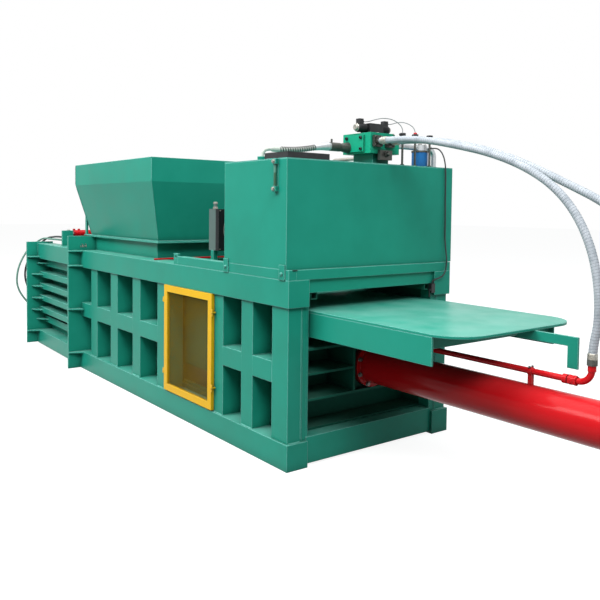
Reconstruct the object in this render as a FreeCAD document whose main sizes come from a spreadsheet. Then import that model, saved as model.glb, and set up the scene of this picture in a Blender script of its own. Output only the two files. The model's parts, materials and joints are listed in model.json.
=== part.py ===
import FreeCAD, Part
import math
import os
import re
import Sketcher

# Horizontal hydraulic baler. +X points to the near end, where the main cylinder stands out,
# -X to the bale outlet, -Y is the side with the guard door, +Z is up.
# The origin is on the ground, under the middle of the press body.
# "back" is a distance from the near end towards the outlet, "inset" a distance in from a side face.

doc = FreeCAD.newDocument("baler")
sheet = doc.addObject("Spreadsheet::Sheet", "dims")

sizes = {
    # press body
    "body_length": 3565,          # near end to the joining flange
    "body_width": 1490,
    "body_height": 1200,
    "rail_height": 172,           # top rail
    "sill_height": 170,           # bottom rail
    "rail_depth": 165,
    "tube_wall": 10,
    "liner_thick": 14,
    "face_step": 15,              # ribs stand this far behind the rails' face
    "end_step": 20,               # end posts and beams stand this far behind the rails' ends
    "post_run": 172,
    "post_depth": 114,
    "jamb_step": 4,
    "front_rib_back": 417,
    "front_rib_run": 138,
    "latch_jamb_back": 795,
    "latch_jamb_run": 135,
    "hinge_jamb_back": 1682,
    "rib_run": 155,
    "last_rib_gap": 258,          # last rib to the joining flange
    "far_rib_back": 1228,
    "mid_rail_low": 530,
    "mid_rail_height": 137,
    "beam_height": 86,
    "beam_run": 80,
    "end_beam_run": 100,
    "sill_beam_low": 17,
    "floor_low": 190,
    "floor_thick": 15,
    "joist_run": 100,
    "joist_end_gap": 282.5,       # body's ends to the outer joists
    "guide_width": 62,
    "guide_height": 25,
    "middle_beam_back": 1905,
    "pump_beam_back": 1000,
    "tube_inset": 192,
    "tube_width": 54,
    "tube_height": 45,
    "thin_wall": 5,
    # joining flange and feed throat
    "flange_thick": 25,
    "flange_reach": 125,          # stands out past the sides
    "flange_rise": 145,           # stands out above the top rails
    "gusset_run": 80,
    "gusset_thick": 12,
    "throat_run": 1412,
    "throat_wall": 10,
    "lip_thick": 10,
    "lip_reach": 45,
    "lip_reach_front": 100,
    "lip_reach_back": 135,
    "blade_run": 45,
    # hopper
    "hopper_wall": 6,
    "hopper_reach_front": 48,     # past the throat's front
    "hopper_reach_back": 75,      # past the joining flange's face
    "hopper_foot_inset": 150,
    "hopper_flare_x": 128,
    "hopper_flare_y": 125,
    "hopper_slope_rise": 518,     # above the joining flange
    "hopper_rise": 722,
    "stay_width": 40,
    "stay_thick": 18,
    "stay_reach": 90,             # behind the hopper's foot
    "stay_inset": 128,
    # cylinder seat and main cylinder
    "seat_run": 300,
    "seat_step": 22,
    "shelf_thick": 16,
    "shelf_low_drop": 151,        # below the cylinder's axis
    "shelf_mid_rise": 15,
    "shelf_high_rise": 175,
    "cheek_gap": 330,
    "mount_plate_back": 70,
    "mount_plate_thick": 40,
    "axis_height": 583,
    "barrel_radius": 119,
    "bore_radius": 90,
    "barrel_out": 1850,           # barrel stands out past the near end
    "barrel_in": 290,
    "cap_thick": 60,
    "gland_thick": 80,
    "flange_ring_radius": 150,
    "flange_ring_thick": 48,
    "barrel_bore_gap": 2,
    "boss_radius": 30,
    "boss_rise": 139,
    "port_radius": 12,
    "front_port_back": 140,
    "rear_port_out": 1765,
    "rod_radius": 60,
    "running_gap": 0.05,
    "piston_run": 100,
    "piston_clearance": 10,
    # rod side pipe
    "pipe_radius": 17,
    "pipe_rise": 195,             # above the cylinder's axis
    "pipe_bend": 52,
    "pipe_gap": 8,                # round the pipe in the top shelf
    "pipe_bend_end": 72,
    "pipe_out": 1500,
    "pipe_end_rise": 94,
    "clamp_out": 1219,
    "clamp_run": 24,
    "collar_radius": 25,
    "collar_run": 26,
    "collar_out": 1455,
    # ram and its cover plate
    "ram_gap": 11,
    "ram_rear_back": 850,
    "ram_rest_gap": 103,          # ram face to the throat, ram drawn back
    "ram_face_thick": 40,
    "ram_plate": 12,
    "ram_side_low": 365,
    "bulkhead_back": 950,
    "bulkhead_thick": 30,
    "rod_foot_radius": 120,
    "rod_foot_thick": 40,
    "runner_width": 50,
    "runner_gap": 0.3,
    "cover_drop": 200,            # below the top rails
    "cover_thick": 15,
    "cover_out": 1177,
    "cover_corner": 210,
    "skirt_out": 1000,
    "skirt_drop": 170,
    "stiffener_drop": 88,
    "stiffener_out": 965,
    "arm_height": 54,
    "arm_start": 1060,
    "arm_out": 1440,
    "arm_leg_run": 62,
    "arm_leg_drop": 186,
    "arm_thick": 12,
    "arm_offset": 89,
    # guard door
    "door_back": 915,
    "door_width": 750,
    "door_low_gap": 10,
    "door_top_gap": 1,
    "door_bar": 53,
    "door_thick": 25,
    "door_gap": 1,
    "door_hole_low": 205,
    "door_lap": 22,               # the frame laps the opening's top edge
    "mesh_thick": 3,
    "mesh_columns": 8,
    "mesh_rows": 10,
    "mesh_wire": 12,
    "door_pin_radius": 6,
    "knuckle_radius": 11,
    "knuckle_height": 20,
    "knuckle_gap": 0.5,
    "door_pin_offset": 25,
    "upper_hinge_drop": 123,      # below the top rail
    "lower_hinge_rise": 157,      # above the sill
    "upper_latch_drop": 136,
    "lower_latch_rise": 175,
    "latch_width": 18,
    "latch_length": 52,
    "latch_thick": 5,
    "latch_gap": 3,
    "latch_head": 6,
    "button_gap": 0.3,            # shank to the jamb's face
    # oil tank and what stands on it
    "tank_base_height": 65,
    "tank_base_width": 60,
    "skid_run": 1456,
    "lug_run": 66,
    "lug_height": 86,
    "lug_thick": 20,
    "lug_hole": 11,
    "tab_run": 60,
    "tab_height": 95,
    "tab_thick": 8,
    "tank_front": 30,
    "tank_run": 731,
    "tank_width": 1530,
    "tank_rise": 761,             # above the top rails
    "tank_sheet": 5,
    "gauge_back": 118,
    "gauge_width": 38,
    "gauge_depth": 26,
    "gauge_drop": 209,            # its foot below the tank's top
    "gauge_height": 205,
    "gauge_head": 34,
    "gauge_tube_radius": 8,
    "duct_width": 42,
    "duct_height": 38,
    "duct_run": 250,
    "duct_reach": 335,
    "block_front": 90,
    "block_run": 285,
    "block_inset": 750,
    "block_width": 275,
    "pedestal_height": 74,
    "block_height": 142,
    "cheek_thick": 14,
    "guard_port": 62,             # in from the block's rear
    "main_port": 55,
    "rear_port": 172,
    "adapter_run": 74,
    "sleeve_run": 90,
    "hose_neck": 20,
    "pedestal_run": 200,
    "pedestal_width": 150,
    "pilot_height": 92,
    "pilot_back": 222,
    "pilot_run": 96,
    "pilot_width": 130,
    "pilot_reach": 292,           # over both solenoids
    "solenoid_radius": 30,
    "plug_run": 38,
    "hose_radius": 22.5,
    "hose_rise": 83,              # hose axis above the valve block's foot
    "hose_flange_size": 76,
    "hose_flange_thick": 22,
    "guard_hose_radius": 21,
    "guard_hose_rise": 45,
    "filter_back": 180,
    "filter_inset": 1335,
    "filter_radius": 60,
    "filter_height": 125,
    "filter_head_height": 42,
    "line_radius": 20,
    "plug_size": 34,
    "stand_height": 211,
    "elbow_reach": 150,
    "cable_boss_reach": 78,       # from the filter's axis along its outlet
    "cable_boss_run": 38,
    "elbow_bend": 60,
    "switch_back": 116,
    "switch_first": 1086,
    "switch_second": 1216,
    "switch_third": 1352,
    "third_switch_back": 100,
    "gland_radius": 32,
    "gland_height": 26,
    "gland_back": 395,
    "gland_inset": 64,
    "limit_gap": 203,             # from the far rail's outer face
    "limit_width": 38,
    "limit_drop": 154,
    "limit_height": 66,
    # pump set and oil cooler
    "motor_radius": 130,
    "motor_run": 400,
    "motor_back": 1290,
    "motor_inset": 1080,
    "motor_rise": 220,            # above the top rails
    "motor_foot": 260,
    "bell_radius": 110,
    "bell_run": 120,
    "pump_radius": 80,
    "pump_run": 150,
    "port_boss": 8,
    "steel_pipe_radius": 14,
    "steel_pipe_lift": 75,        # above the tank's top
    "steel_pipe_reach": 150,      # behind the valve block
    "steel_pipe_shift": 130,
    "steel_pipe_rise": 60,
    "suction_reach": 80,
    "suction_radius": 26,
    "cooler_back": 1450,
    "cooler_run": 104,
    "cooler_inset": 335,
    "cooler_width": 390,
    "cooler_rise": 102,
    "cooler_height": 334,
    "shroud_run": 48,
    "fan_radius": 140,
    "fan_hub_radius": 42,
    "fan_motor_radius": 55,
    "fan_motor_run": 62,
    "fan_shaft_radius": 8,
    "leg_size": 40,
    # outlet
    "outlet_gap": 70,             # joining flange to the side panels
    "panel_run": 1500,
    "end_plate_thick": 12,
    "panel_low": 15,
    "panel_rail_height": 175,
    "panel_sill_height": 155,
    "panel_flange_rise": 20,
    "panel_flange_low": 20,
    "panel_liner": 16,
    "squeeze_deg": 1.6,           # panels are drawn in by this much as they stand
    "rib_height": 60,
    "rib_low": 385,
    "rib_top_gap": 125,           # top rib to the deep one over it
    "rib_inset": 22,
    "rib_wall": 8,
    "deep_rib_inset": 80,
    "deep_rib_height": 72,
    "deep_rib_low": 262,
    "deep_rib_drop": 270,
    "wedge_run": 150,
    "wedge_reach": 92,
    "wedge_tip": 30,
    "hinge_back": 35,             # hinge pin behind the joining flange
    "hinge_inset": 90,
    "hinge_pin_radius": 20,
    "hinge_knuckle_radius": 30,
    "hinge_knuckle_height": 100,
    "roof_thick": 15,
    "roof_beam_height": 120,
    "outlet_clearance": 24,
    "outlet_taper": 92,
    "squeeze_back": 885,          # squeeze cylinders behind the joining flange
    "squeeze_inset": 170,
    "squeeze_rise": 131,          # above the panels
    "squeeze_radius": 45,
    "squeeze_bore": 34,
    "squeeze_rod": 20,
    "squeeze_run": 780,
    "squeeze_base": 57,
    "squeeze_pin": 14,
    "squeeze_pin_gap": 0.5,
    "eye_radius": 32,
    "eye_height": 44,
    "low_squeeze_inset": 262,
    "low_squeeze_height": 100,
    "ear_thick": 18,
    "ear_gap": 1,
    "ear_offset": 4,
    "ear_web": 30,
    "port_block": 56,
    "outlet_hose_radius": 11,
    "cable_radius": 5,
}

# sizes that follow from others
derived = {
    "rib_pitch": "(body_length - last_rib_gap - rib_run - hinge_jamb_back) / 3",
    "flange_top": "body_height + flange_rise",
    "beam_low": "body_height - beam_height",
    "joist_pitch": "(body_length - 2 * joist_end_gap) / 4",
    "hopper_slope_top": "flange_top + hopper_slope_rise",
    "hopper_top": "flange_top + hopper_rise",
    "shelf_low_top": "axis_height - shelf_low_drop",
    "shelf_mid_top": "axis_height + shelf_mid_rise",
    "shelf_high_top": "axis_height + shelf_high_rise",
    "boss_top": "axis_height + boss_rise",
    "pipe_height": "axis_height + pipe_rise",
    "pipe_end_height": "pipe_height + pipe_end_rise",
    "cover_top": "body_height - cover_drop",
    "skirt_low": "cover_top - skirt_drop",
    "stiffener_low": "cover_top - stiffener_drop",
    "arm_leg_low": "cover_top - arm_leg_drop",
    "tank_top_height": "body_height + tank_rise",
    "limit_low": "body_height - limit_drop",
    "limit_inset": "body_width - limit_gap",
    "motor_axis": "body_height + motor_rise",
    "cooler_low": "body_height + cooler_rise",
    "panel_top": "body_height",
    "panel_flange_top": "panel_top + panel_flange_rise",
    "deep_rib_high": "panel_top - deep_rib_drop",
    "rib_step": "(deep_rib_high - rib_low - rib_top_gap) / 3",
    "roof_low": "cover_top",
    "squeeze_height": "panel_top + squeeze_rise",
    "throat_front": "body_length - throat_run",
    "hopper_foot_front": "throat_front - hopper_reach_front",
    "hopper_foot_back": "body_length + hopper_reach_back",
    "stay_back": "hopper_foot_back + stay_reach",
    "ram_front_back": "throat_front - ram_rest_gap",
    "door_low": "sill_height + door_low_gap",
    "door_height": "body_height - rail_height - door_top_gap - door_low",
    "door_hole_top": "door_low + door_height - door_lap",
    "upper_hinge_height": "body_height - rail_height - upper_hinge_drop",
    "lower_hinge_height": "sill_height + lower_hinge_rise",
    "upper_latch_height": "body_height - rail_height - upper_latch_drop",
    "lower_latch_height": "sill_height + lower_latch_rise",
    "gauge_low": "tank_top_height - gauge_drop",
    "block_low": "tank_top_height + pedestal_height",
    "hose_height": "block_low + hose_rise",
    "guard_hose_height": "block_low + guard_hose_rise",
    "plug_height": "tank_top_height + stand_height",
}

for row, (alias, value) in enumerate({**sizes, **derived}.items(), 1):
    sheet.set("A%d" % row, alias)
    sheet.set("B%d" % row, f"={value}" if alias in derived else str(value))
    sheet.setAlias("B%d" % row, alias)
doc.recompute()

NEAR, FAR = "near", "far"
SIDES = (NEAR, FAR)
nodes = {}


# ---------------------------------------------------------------- bound objects

def size(name):
    return float(getattr(sheet, name))


def linked(formula):
    """The formula with each size's name turned into a reference to its cell."""
    def cell(match):
        name = match.group(0)
        return f"dims.{name}" if name in sizes or name in derived else name
    return re.sub(r"[A-Za-z_]\w*", cell, str(formula))


def bind(thing, prop, formula):
    thing.setExpression(prop, linked(formula))


def back(distance):
    return f"(body_length / 2 - ({distance}))"


def inset(side, depth):
    sign = "-" if side == NEAR else "+"
    return f"({sign}(body_width / 2 - ({depth})))"


def span_x(start, stop):
    return back(stop), back(start)


def span_y(side, start, stop):
    if side == NEAR:
        return inset(side, start), inset(side, stop)
    return inset(side, stop), inset(side, start)


def across(margin):
    """From one side to the other, this far in from both."""
    return inset(NEAR, margin), inset(FAR, margin)


def centred(width, middle="0"):
    return f"({middle}) - ({width}) / 2", f"({middle}) + ({width}) / 2"


def upward(low, height):
    return f"({low})", f"({low}) + ({height})"


def block(xs, ys, zs):
    made = doc.addObject("Part::Box", "block")
    for prop, axis, (low, high) in (("Length", "x", xs), ("Width", "y", ys), ("Height", "z", zs)):
        bind(made, prop, f"({high}) - ({low})")
        bind(made, f"Placement.Base.{axis}", low)
    return made


TURN = {
    "x": FreeCAD.Rotation(FreeCAD.Vector(0, 1, 0), 90),
    "y": FreeCAD.Rotation(FreeCAD.Vector(1, 0, 0), -90),
    "z": FreeCAD.Rotation(),
}


def round_bar(axis, start, radius, length):
    """A cylinder from start = (x, y, z) along +axis."""
    made = doc.addObject("Part::Cylinder", "round_bar")
    made.Placement = FreeCAD.Placement(FreeCAD.Vector(), TURN[axis])
    bind(made, "Radius", radius)
    bind(made, "Height", length)
    for letter, formula in zip("xyz", start):
        bind(made, f"Placement.Base.{letter}", formula)
    return made


def cone(axis, start, radius, end_radius, length):
    made = doc.addObject("Part::Cone", "cone")
    made.Placement = FreeCAD.Placement(FreeCAD.Vector(), TURN[axis])
    bind(made, "Radius1", radius)
    bind(made, "Radius2", end_radius)
    bind(made, "Height", length)
    for letter, formula in zip("xyz", start):
        bind(made, f"Placement.Base.{letter}", formula)
    return made


def fuse(parts):
    made = doc.addObject("Part::MultiFuse", "fuse")
    made.Shapes = parts
    made.Refine = True
    return made


def cut(base, tools):
    tool = tools[0] if len(tools) == 1 else fuse(tools)
    made = doc.addObject("Part::Cut", "cut")
    made.Base = base
    made.Tool = tool
    made.Refine = True
    return made


def group(parts):
    """Separate solids that share one file."""
    made = doc.addObject("Part::Compound", "group")
    made.Links = parts
    return made


def tube(along, xs, ys, zs, wall="tube_wall", closed=""):
    """A rectangular tube. closed names an end that has a cap: low or high."""
    spans = {"x": xs, "y": ys, "z": zs}
    inner = {}
    for axis, (low, high) in spans.items():
        if axis == along:
            inner[axis] = (f"({low}) + ({wall})" if closed == "low" else f"({low}) - 1",
                           f"({high}) - ({wall})" if closed == "high" else f"({high}) + 1")
        else:
            inner[axis] = (f"({low}) + ({wall})", f"({high}) - ({wall})")
    return cut(block(xs, ys, zs), [block(inner["x"], inner["y"], inner["z"])])


def origin_plane(body, role):
    return [feature for feature in body.Origin.OriginFeatures if feature.Role == role][0]


def sketch(body, role, offset="0"):
    made = body.newObject("Sketcher::SketchObject", "sketch")
    made.AttachmentSupport = [(origin_plane(body, role), "")]
    made.MapMode = "FlatFace"
    bind(made, "AttachmentOffset.Base.z", offset)
    return made


def polygon(drawing, points):
    """A closed outline whose corners are bound to pairs of formulas."""
    first = drawing.GeometryCount
    count = len(points)
    for i in range(count):
        turn, next_turn = 2 * math.pi * i / count, 2 * math.pi * (i + 1) / count
        drawing.addGeometry(Part.LineSegment(FreeCAD.Vector(math.cos(turn), math.sin(turn), 0),
                                             FreeCAD.Vector(math.cos(next_turn), math.sin(next_turn), 0)))
    for i in range(count):
        following = first + (i + 1) % count
        drawing.addConstraint(Sketcher.Constraint("Coincident", first + i, 2, following, 1))
    for i, (right, up) in enumerate(points):
        for kind, formula in (("DistanceX", right), ("DistanceY", up)):
            place = drawing.addConstraint(Sketcher.Constraint(kind, -1, 1, first + i, 1, 1.0))
            bind(drawing, f"Constraints[{place}]", formula)


def pad(body, drawing, length, reverse=False):
    made = body.newObject("PartDesign::Pad", "pad")
    made.Profile = drawing
    made.Reversed = reverse
    bind(made, "Length", length)
    return made


def profile_body(role, points, offset, length, reverse=False):
    """A body padded from one outline."""
    body = doc.addObject("PartDesign::Body", "profile")
    drawing = sketch(body, role, offset)
    polygon(drawing, points)
    pad(body, drawing, length, reverse)
    return body


def rectangle(xs, ys):
    return [(xs[0], ys[0]), (xs[1], ys[0]), (xs[1], ys[1]), (xs[0], ys[1])]


def turned(points, x, z):
    """A body turned about an axis along X at height z: points are (distance along +X from x, radius)."""
    body = doc.addObject("PartDesign::Body", "turned")
    drawing = sketch(body, "XZ_Plane")
    polygon(drawing, points)
    revolve = body.newObject("PartDesign::Revolution", "revolve")
    revolve.Profile = drawing
    revolve.ReferenceAxis = (drawing, ["H_Axis"])
    revolve.Angle = 360
    bind(body, "Placement.Base.x", x)
    bind(body, "Placement.Base.z", z)
    return body


def swing(thing, side):
    """Turn a panel's piece about its hinge pin, by the angle that it stands drawn in."""
    angle = "-squeeze_deg" if side == NEAR else "squeeze_deg"
    x, y = HINGE_X, inset(side, "hinge_inset")
    thing.Placement = FreeCAD.Placement()
    bind(thing, "Placement.Rotation.Angle", angle)
    bind(thing, "Placement.Base.x", f"({x}) - (({x}) * cos({angle}) - ({y}) * sin({angle}))")
    bind(thing, "Placement.Base.y", f"({y}) - (({x}) * sin({angle}) + ({y}) * cos({angle}))")
    return thing


def node(name, thing):
    thing.Label = name
    nodes[name] = thing
    return thing


# ---------------------------------------------------------------- press body

WALL = "rail_depth + liner_thick"          # side face to the chamber
RAIL_LOW = "body_height - rail_height"
FLOOR_TOP = "floor_low + floor_thick"
END = "body_length"


def make_rails():
    rails = []
    for side in SIDES:
        ys = span_y(side, "0", "rail_depth")
        for low, height in ((RAIL_LOW, "rail_height"), ("0", "sill_height")):
            rails.append(tube("x", span_x("0", END), ys, upward(low, height), closed="high"))
    node("side_rails", group(rails))


def make_ribs():
    ribs = []
    for side in SIDES:
        ys = span_y(side, "face_step", "rail_depth")
        starts = [("front_rib_back", "front_rib_run"), ("latch_jamb_back", "latch_jamb_run")]
        if side == FAR:
            starts.append(("far_rib_back", "rib_run"))
        starts += [(f"hinge_jamb_back + {i} * rib_pitch", "rib_run") for i in range(4)]
        for start, run in starts:
            ribs.append(tube("z", span_x(start, f"{start} + {run}"), ys, ("sill_height", RAIL_LOW)))
        gap_start = "end_step + post_run"
        for start, run in starts + [(END, "0")]:
            door_gap = side == NEAR and start.startswith("hinge_jamb_back + 0")
            if not door_gap:
                ribs.append(tube("x", span_x(gap_start, start), ys, upward("mid_rail_low", "mid_rail_height")))
            gap_start = f"{start} + {run}"
    node("side_ribs", group(ribs))


def make_liners():
    """One sheet on the far side, four strips round the door's opening on the near side."""
    rear_end, door_rear = "end_step + end_beam_run", "hinge_jamb_back"
    door_front = "latch_jamb_back + latch_jamb_run"
    full = ("floor_low", "body_height")
    strips = [(FAR, rear_end, END, full), (NEAR, rear_end, door_front, full), (NEAR, door_rear, END, full),
              (NEAR, door_front, door_rear, ("floor_low", "door_hole_low")),
              (NEAR, door_front, door_rear, ("door_hole_top", "body_height"))]
    node("side_liners", group([block(span_x(start, stop), span_y(side, "rail_depth", WALL), zs)
                               for side, start, stop, zs in strips]))


def make_end_frame():
    pieces = []
    heights = ("sill_height", RAIL_LOW)
    for side in SIDES:
        pieces.append(tube("z", span_x("end_step", "end_step + post_run"),
                           span_y(side, "face_step", "face_step + post_depth"), heights))
        strip = span_x("end_step + jamb_step", "end_step + end_beam_run")
        pieces.append(block(strip, span_y(side, "face_step + post_depth", "rail_depth"), heights))
        pieces.append(block(strip, span_y(side, "rail_depth", WALL), ("floor_low", "beam_low")))
    run = span_x("end_step", "end_step + end_beam_run")
    pieces.append(tube("y", run, across("rail_depth"), ("beam_low", "body_height")))
    pieces.append(tube("y", run, across("rail_depth"), ("sill_beam_low", "floor_low")))
    node("end_frame", group(pieces))


def make_floor():
    inner = across(WALL)
    plate = block(span_x("end_step + end_beam_run", END), inner, upward("floor_low", "floor_thick"))
    guides = [block(span_x("seat_run + shelf_thick", END), span_y(side, WALL, f"{WALL} + guide_width"),
                    upward(FLOOR_TOP, "guide_height")) for side in SIDES]
    node("floor_plate", group([plate] + guides))
    joists = [tube("y", centred("joist_run", f"{i} * joist_pitch"), across("rail_depth"), ("0", "floor_low"))
              for i in (-2, -1, 0, 1, 2)]
    node("floor_joists", group(joists))


def make_cross_beams():
    inner = across(WALL)
    heights = ("beam_low", "body_height")
    starts = ["tank_front + tank_run - beam_run", "pump_beam_back", "cooler_back + cooler_run / 2 - beam_run / 2",
              "middle_beam_back", "throat_front + throat_wall - beam_run"]
    beams = [tube("y", span_x(start, f"{start} + beam_run"), inner, heights) for start in starts]
    hold_downs = [tube("x", span_x("end_step + jamb_step", "throat_front"),
                       span_y(side, "tube_inset", "tube_inset + tube_width"),
                       ("beam_low - tube_height", "beam_low"), wall="thin_wall") for side in SIDES]
    node("cross_beams", group(beams + hold_downs))


make_rails()
make_ribs()
make_liners()
make_end_frame()
make_floor()
make_cross_beams()


# ---------------------------------------------------------------- joining flange, throat, hopper

HINGE_X = back("body_length + flange_thick + hinge_back")
HINGE_LEVELS = ("panel_low + 5", "body_height / 2 - hinge_knuckle_height / 2",
                "panel_top - hinge_knuckle_height - 5")


def make_joining_flange():
    body = doc.addObject("PartDesign::Body", "flange")
    plane = sketch(body, "YZ_Plane", back("body_length + flange_thick"))
    polygon(plane, rectangle(across("-flange_reach"), ("0", "flange_top")))
    polygon(plane, rectangle(across(WALL), (FLOOR_TOP, "cover_top + ram_gap")))
    pad(body, plane, "flange_thick")
    pieces = [body]
    levels = ("body_height - gusset_thick", "body_height - rail_height + gusset_thick",
              "mid_rail_low + mid_rail_height / 2", "sill_height - gusset_thick")
    for side in SIDES:
        for low in levels:
            edge, face = inset(side, "-flange_reach"), inset(side, "0")
            outline = [(back(END), edge), (back(END), face), (back("body_length - gusset_run"), face),
                       (back("body_length - gusset_run / 4"), edge)]
            pieces.append(profile_body("XY_Plane", outline, low, "gusset_thick"))
        for low in HINGE_LEVELS:
            pieces.append(hinge_knuckle(side, low))
    node("joining_flange", fuse(pieces))


def hinge_knuckle(side, low):
    """The fixed half of a panel hinge: an arm off the flange with an eye for the pin."""
    middle = inset(side, "hinge_inset")
    reach = (back("body_length + flange_thick + hinge_back"), back("body_length + flange_thick - 1"))
    arm = block(reach, centred("hinge_knuckle_radius * 2", middle), upward(low, "hinge_knuckle_height"))
    eye = round_bar("z", (HINGE_X, middle, low), "hinge_knuckle_radius", "hinge_knuckle_height")
    hole = round_bar("z", (HINGE_X, middle, f"{low} - 1"), "hinge_pin_radius + running_gap",
                     "hinge_knuckle_height + 2")
    return cut(fuse([arm, eye]), [hole])


def make_throat():
    outer_x = span_x("throat_front", END)
    inner_x = span_x("throat_front + throat_wall", "body_length + 1")
    outer_y = across("rail_depth")
    inner_y = across("rail_depth + throat_wall")
    walls = cut(block(outer_x, outer_y, ("body_height", "flange_top - lip_thick")),
                [block(inner_x, inner_y, ("body_height - 1", "flange_top + 1"))])
    lip = cut(block(span_x("throat_front - lip_reach_front", END), across("rail_depth - lip_reach"),
                    ("flange_top - lip_thick", "flange_top")),
              [block(inner_x, inner_y, ("body_height - 1", "flange_top + 1"))])
    blade = block(span_x("body_length - blade_run", END), across(f"{WALL} + ram_gap"),
                  ("cover_top + ram_gap", "beam_low"))
    node("feed_throat", group([fuse([walls, lip]), blade]))


FOOT_X = span_x("hopper_foot_front", "hopper_foot_back")
FOOT_Y = across("hopper_foot_inset")
LIP_TOP = "flange_top + lip_thick"


def grown(span, amount):
    return f"({span[0]}) - ({amount})", f"({span[1]}) + ({amount})"


def make_hopper():
    body = doc.addObject("PartDesign::Body", "hopper_body")
    top_x, top_y = grown(FOOT_X, "hopper_flare_x"), grown(FOOT_Y, "hopper_flare_y")
    for kind, wall in (("PartDesign::AdditiveLoft", "0"), ("PartDesign::SubtractiveLoft", "hopper_wall")):
        low = sketch(body, "XY_Plane", LIP_TOP)
        polygon(low, rectangle(grown(FOOT_X, f"-{wall}"), grown(FOOT_Y, f"-{wall}")))
        high = sketch(body, "XY_Plane", "hopper_slope_top")
        polygon(high, rectangle(grown(top_x, f"-{wall}"), grown(top_y, f"-{wall}")))
        loft = body.newObject(kind, "loft")
        loft.Profile = low
        loft.Sections = [high]
        loft.Ruled = True
    rim = sketch(body, "XY_Plane", "hopper_slope_top")
    polygon(rim, rectangle(top_x, top_y))
    polygon(rim, rectangle(grown(top_x, "-hopper_wall"), grown(top_y, "-hopper_wall")))
    pad(body, rim, "hopper_top - hopper_slope_top")
    lip = cut(block(span_x("throat_front - lip_reach_front", "hopper_foot_back + lip_reach_back"),
                    across("rail_depth - lip_reach"), ("flange_top", LIP_TOP)),
              [block(span_x("throat_front + throat_wall", "body_length - 5"), across("rail_depth + throat_wall"),
                     ("flange_top - 1", f"{LIP_TOP} + 1"))])
    rise = f"(hopper_slope_top - ({LIP_TOP})) / hopper_flare_x"
    stays = []
    for side in SIDES:
        ys = span_y(side, "stay_inset", "stay_inset + stay_thick")
        edges = [back("stay_back + stay_width"), back("stay_back")]
        tops = [f"{LIP_TOP} + {rise} * (stay_back + {width} - hopper_foot_back) + 2" for width in ("stay_width", "0")]
        outline = [(edges[0], LIP_TOP), (edges[1], LIP_TOP), (edges[1], tops[1]), (edges[0], tops[0])]
        stays.append(profile_body("XZ_Plane", outline, f"-({ys[1]})", "stay_thick"))
    node("hopper", fuse([body, lip] + stays))


make_joining_flange()
make_throat()
make_hopper()


# ---------------------------------------------------------------- cylinder seat and main cylinder

def make_seat():
    run = span_x("seat_step", "seat_run")
    half_gap = "cheek_gap / 2"
    cheek_out = f"{half_gap} + shelf_thick"
    plates = []
    plates.append(block(run, across(WALL), ("shelf_low_top - shelf_thick", "shelf_low_top")))
    slot = block(span_x("front_port_back - pipe_bend", "front_port_back + pipe_radius + pipe_gap"),
                 centred("(pipe_radius + pipe_gap) * 2"), ("shelf_mid_top", "shelf_high_top + 1"))
    plates.append(cut(block(run, across(WALL), ("shelf_high_top - shelf_thick", "shelf_high_top")), [slot]))
    cheek_z = ("shelf_low_top", "shelf_high_top - shelf_thick")
    for low, high, shelf_y in ((f"-({cheek_out})", f"-({half_gap})", (inset(NEAR, WALL), f"-({cheek_out})")),
                               (half_gap, cheek_out, (cheek_out, inset(FAR, WALL)))):
        plates.append(block(run, (low, high), cheek_z))
        plates.append(block(run, shelf_y, ("shelf_mid_top - shelf_thick", "shelf_mid_top")))
    mount_run = span_x("mount_plate_back", "mount_plate_back + mount_plate_thick")
    bore = round_bar("x", (back("seat_run + shelf_thick + 1"), "0", "axis_height"),
                     "barrel_radius + barrel_bore_gap", "seat_run + shelf_thick + 2")
    plates.append(cut(block(mount_run, (f"-({half_gap})", half_gap), cheek_z), [bore]))
    rod_hole = round_bar("x", (back("seat_run + shelf_thick + 1"), "0", "axis_height"),
                         "rod_radius * 1.3", "seat_run + shelf_thick + 2")
    plates.append(cut(block(span_x("seat_run", "seat_run + shelf_thick"), across(WALL),
                            (FLOOR_TOP, "shelf_high_top")), [rod_hole]))
    node("cylinder_seat", group(plates))


def make_barrel():
    """Closed at the rear, with a flange ring against the mounting plate and a gland at the front."""
    rear, front = "-barrel_out", "barrel_in"
    ring_front = "mount_plate_back"
    ring_rear = "mount_plate_back - flange_ring_thick"
    outline = [(rear, "0"), (rear, "barrel_radius"), (ring_rear, "barrel_radius"),
               (ring_rear, "flange_ring_radius"), (ring_front, "flange_ring_radius"),
               (ring_front, "barrel_radius"), (front, "barrel_radius"), (front, "rod_radius + running_gap"),
               (f"{front} - gland_thick", "rod_radius + running_gap"), (f"{front} - gland_thick", "bore_radius"),
               (f"{rear} + cap_thick", "bore_radius"), (f"{rear} + cap_thick", "0")]
    shell = turned([(f"-({along})", radius) for along, radius in outline], back("0"), "axis_height")
    pieces, holes = [shell], []
    for out in ("-front_port_back", "rear_port_out"):
        x = f"body_length / 2 + ({out})"
        start = "axis_height + (bore_radius + barrel_radius) / 2"
        pieces.append(round_bar("z", (x, "0", start), "boss_radius", f"boss_top - ({start})"))
        holes.append(round_bar("z", (x, "0", "axis_height + bore_radius - 5"), "port_radius",
                               "boss_top - axis_height - bore_radius + 6"))
    node("barrel", cut(fuse(pieces), holes))


def make_rod():
    """Piston rod with its piston inside the barrel and its foot bolted to the ram's bulkhead."""
    tail = "-barrel_out + cap_thick + piston_clearance"
    foot = "bulkhead_back"
    piston = "bore_radius - running_gap"
    outline = [(tail, "0"), (tail, piston), (f"{tail} + piston_run", piston), (f"{tail} + piston_run", "rod_radius"),
               (f"{foot} - rod_foot_thick", "rod_radius"), (f"{foot} - rod_foot_thick", "rod_foot_radius"),
               (foot, "rod_foot_radius"), (foot, "0")]
    node("piston_rod", turned([(f"-({along})", radius) for along, radius in outline], back("0"), "axis_height"))


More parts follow.
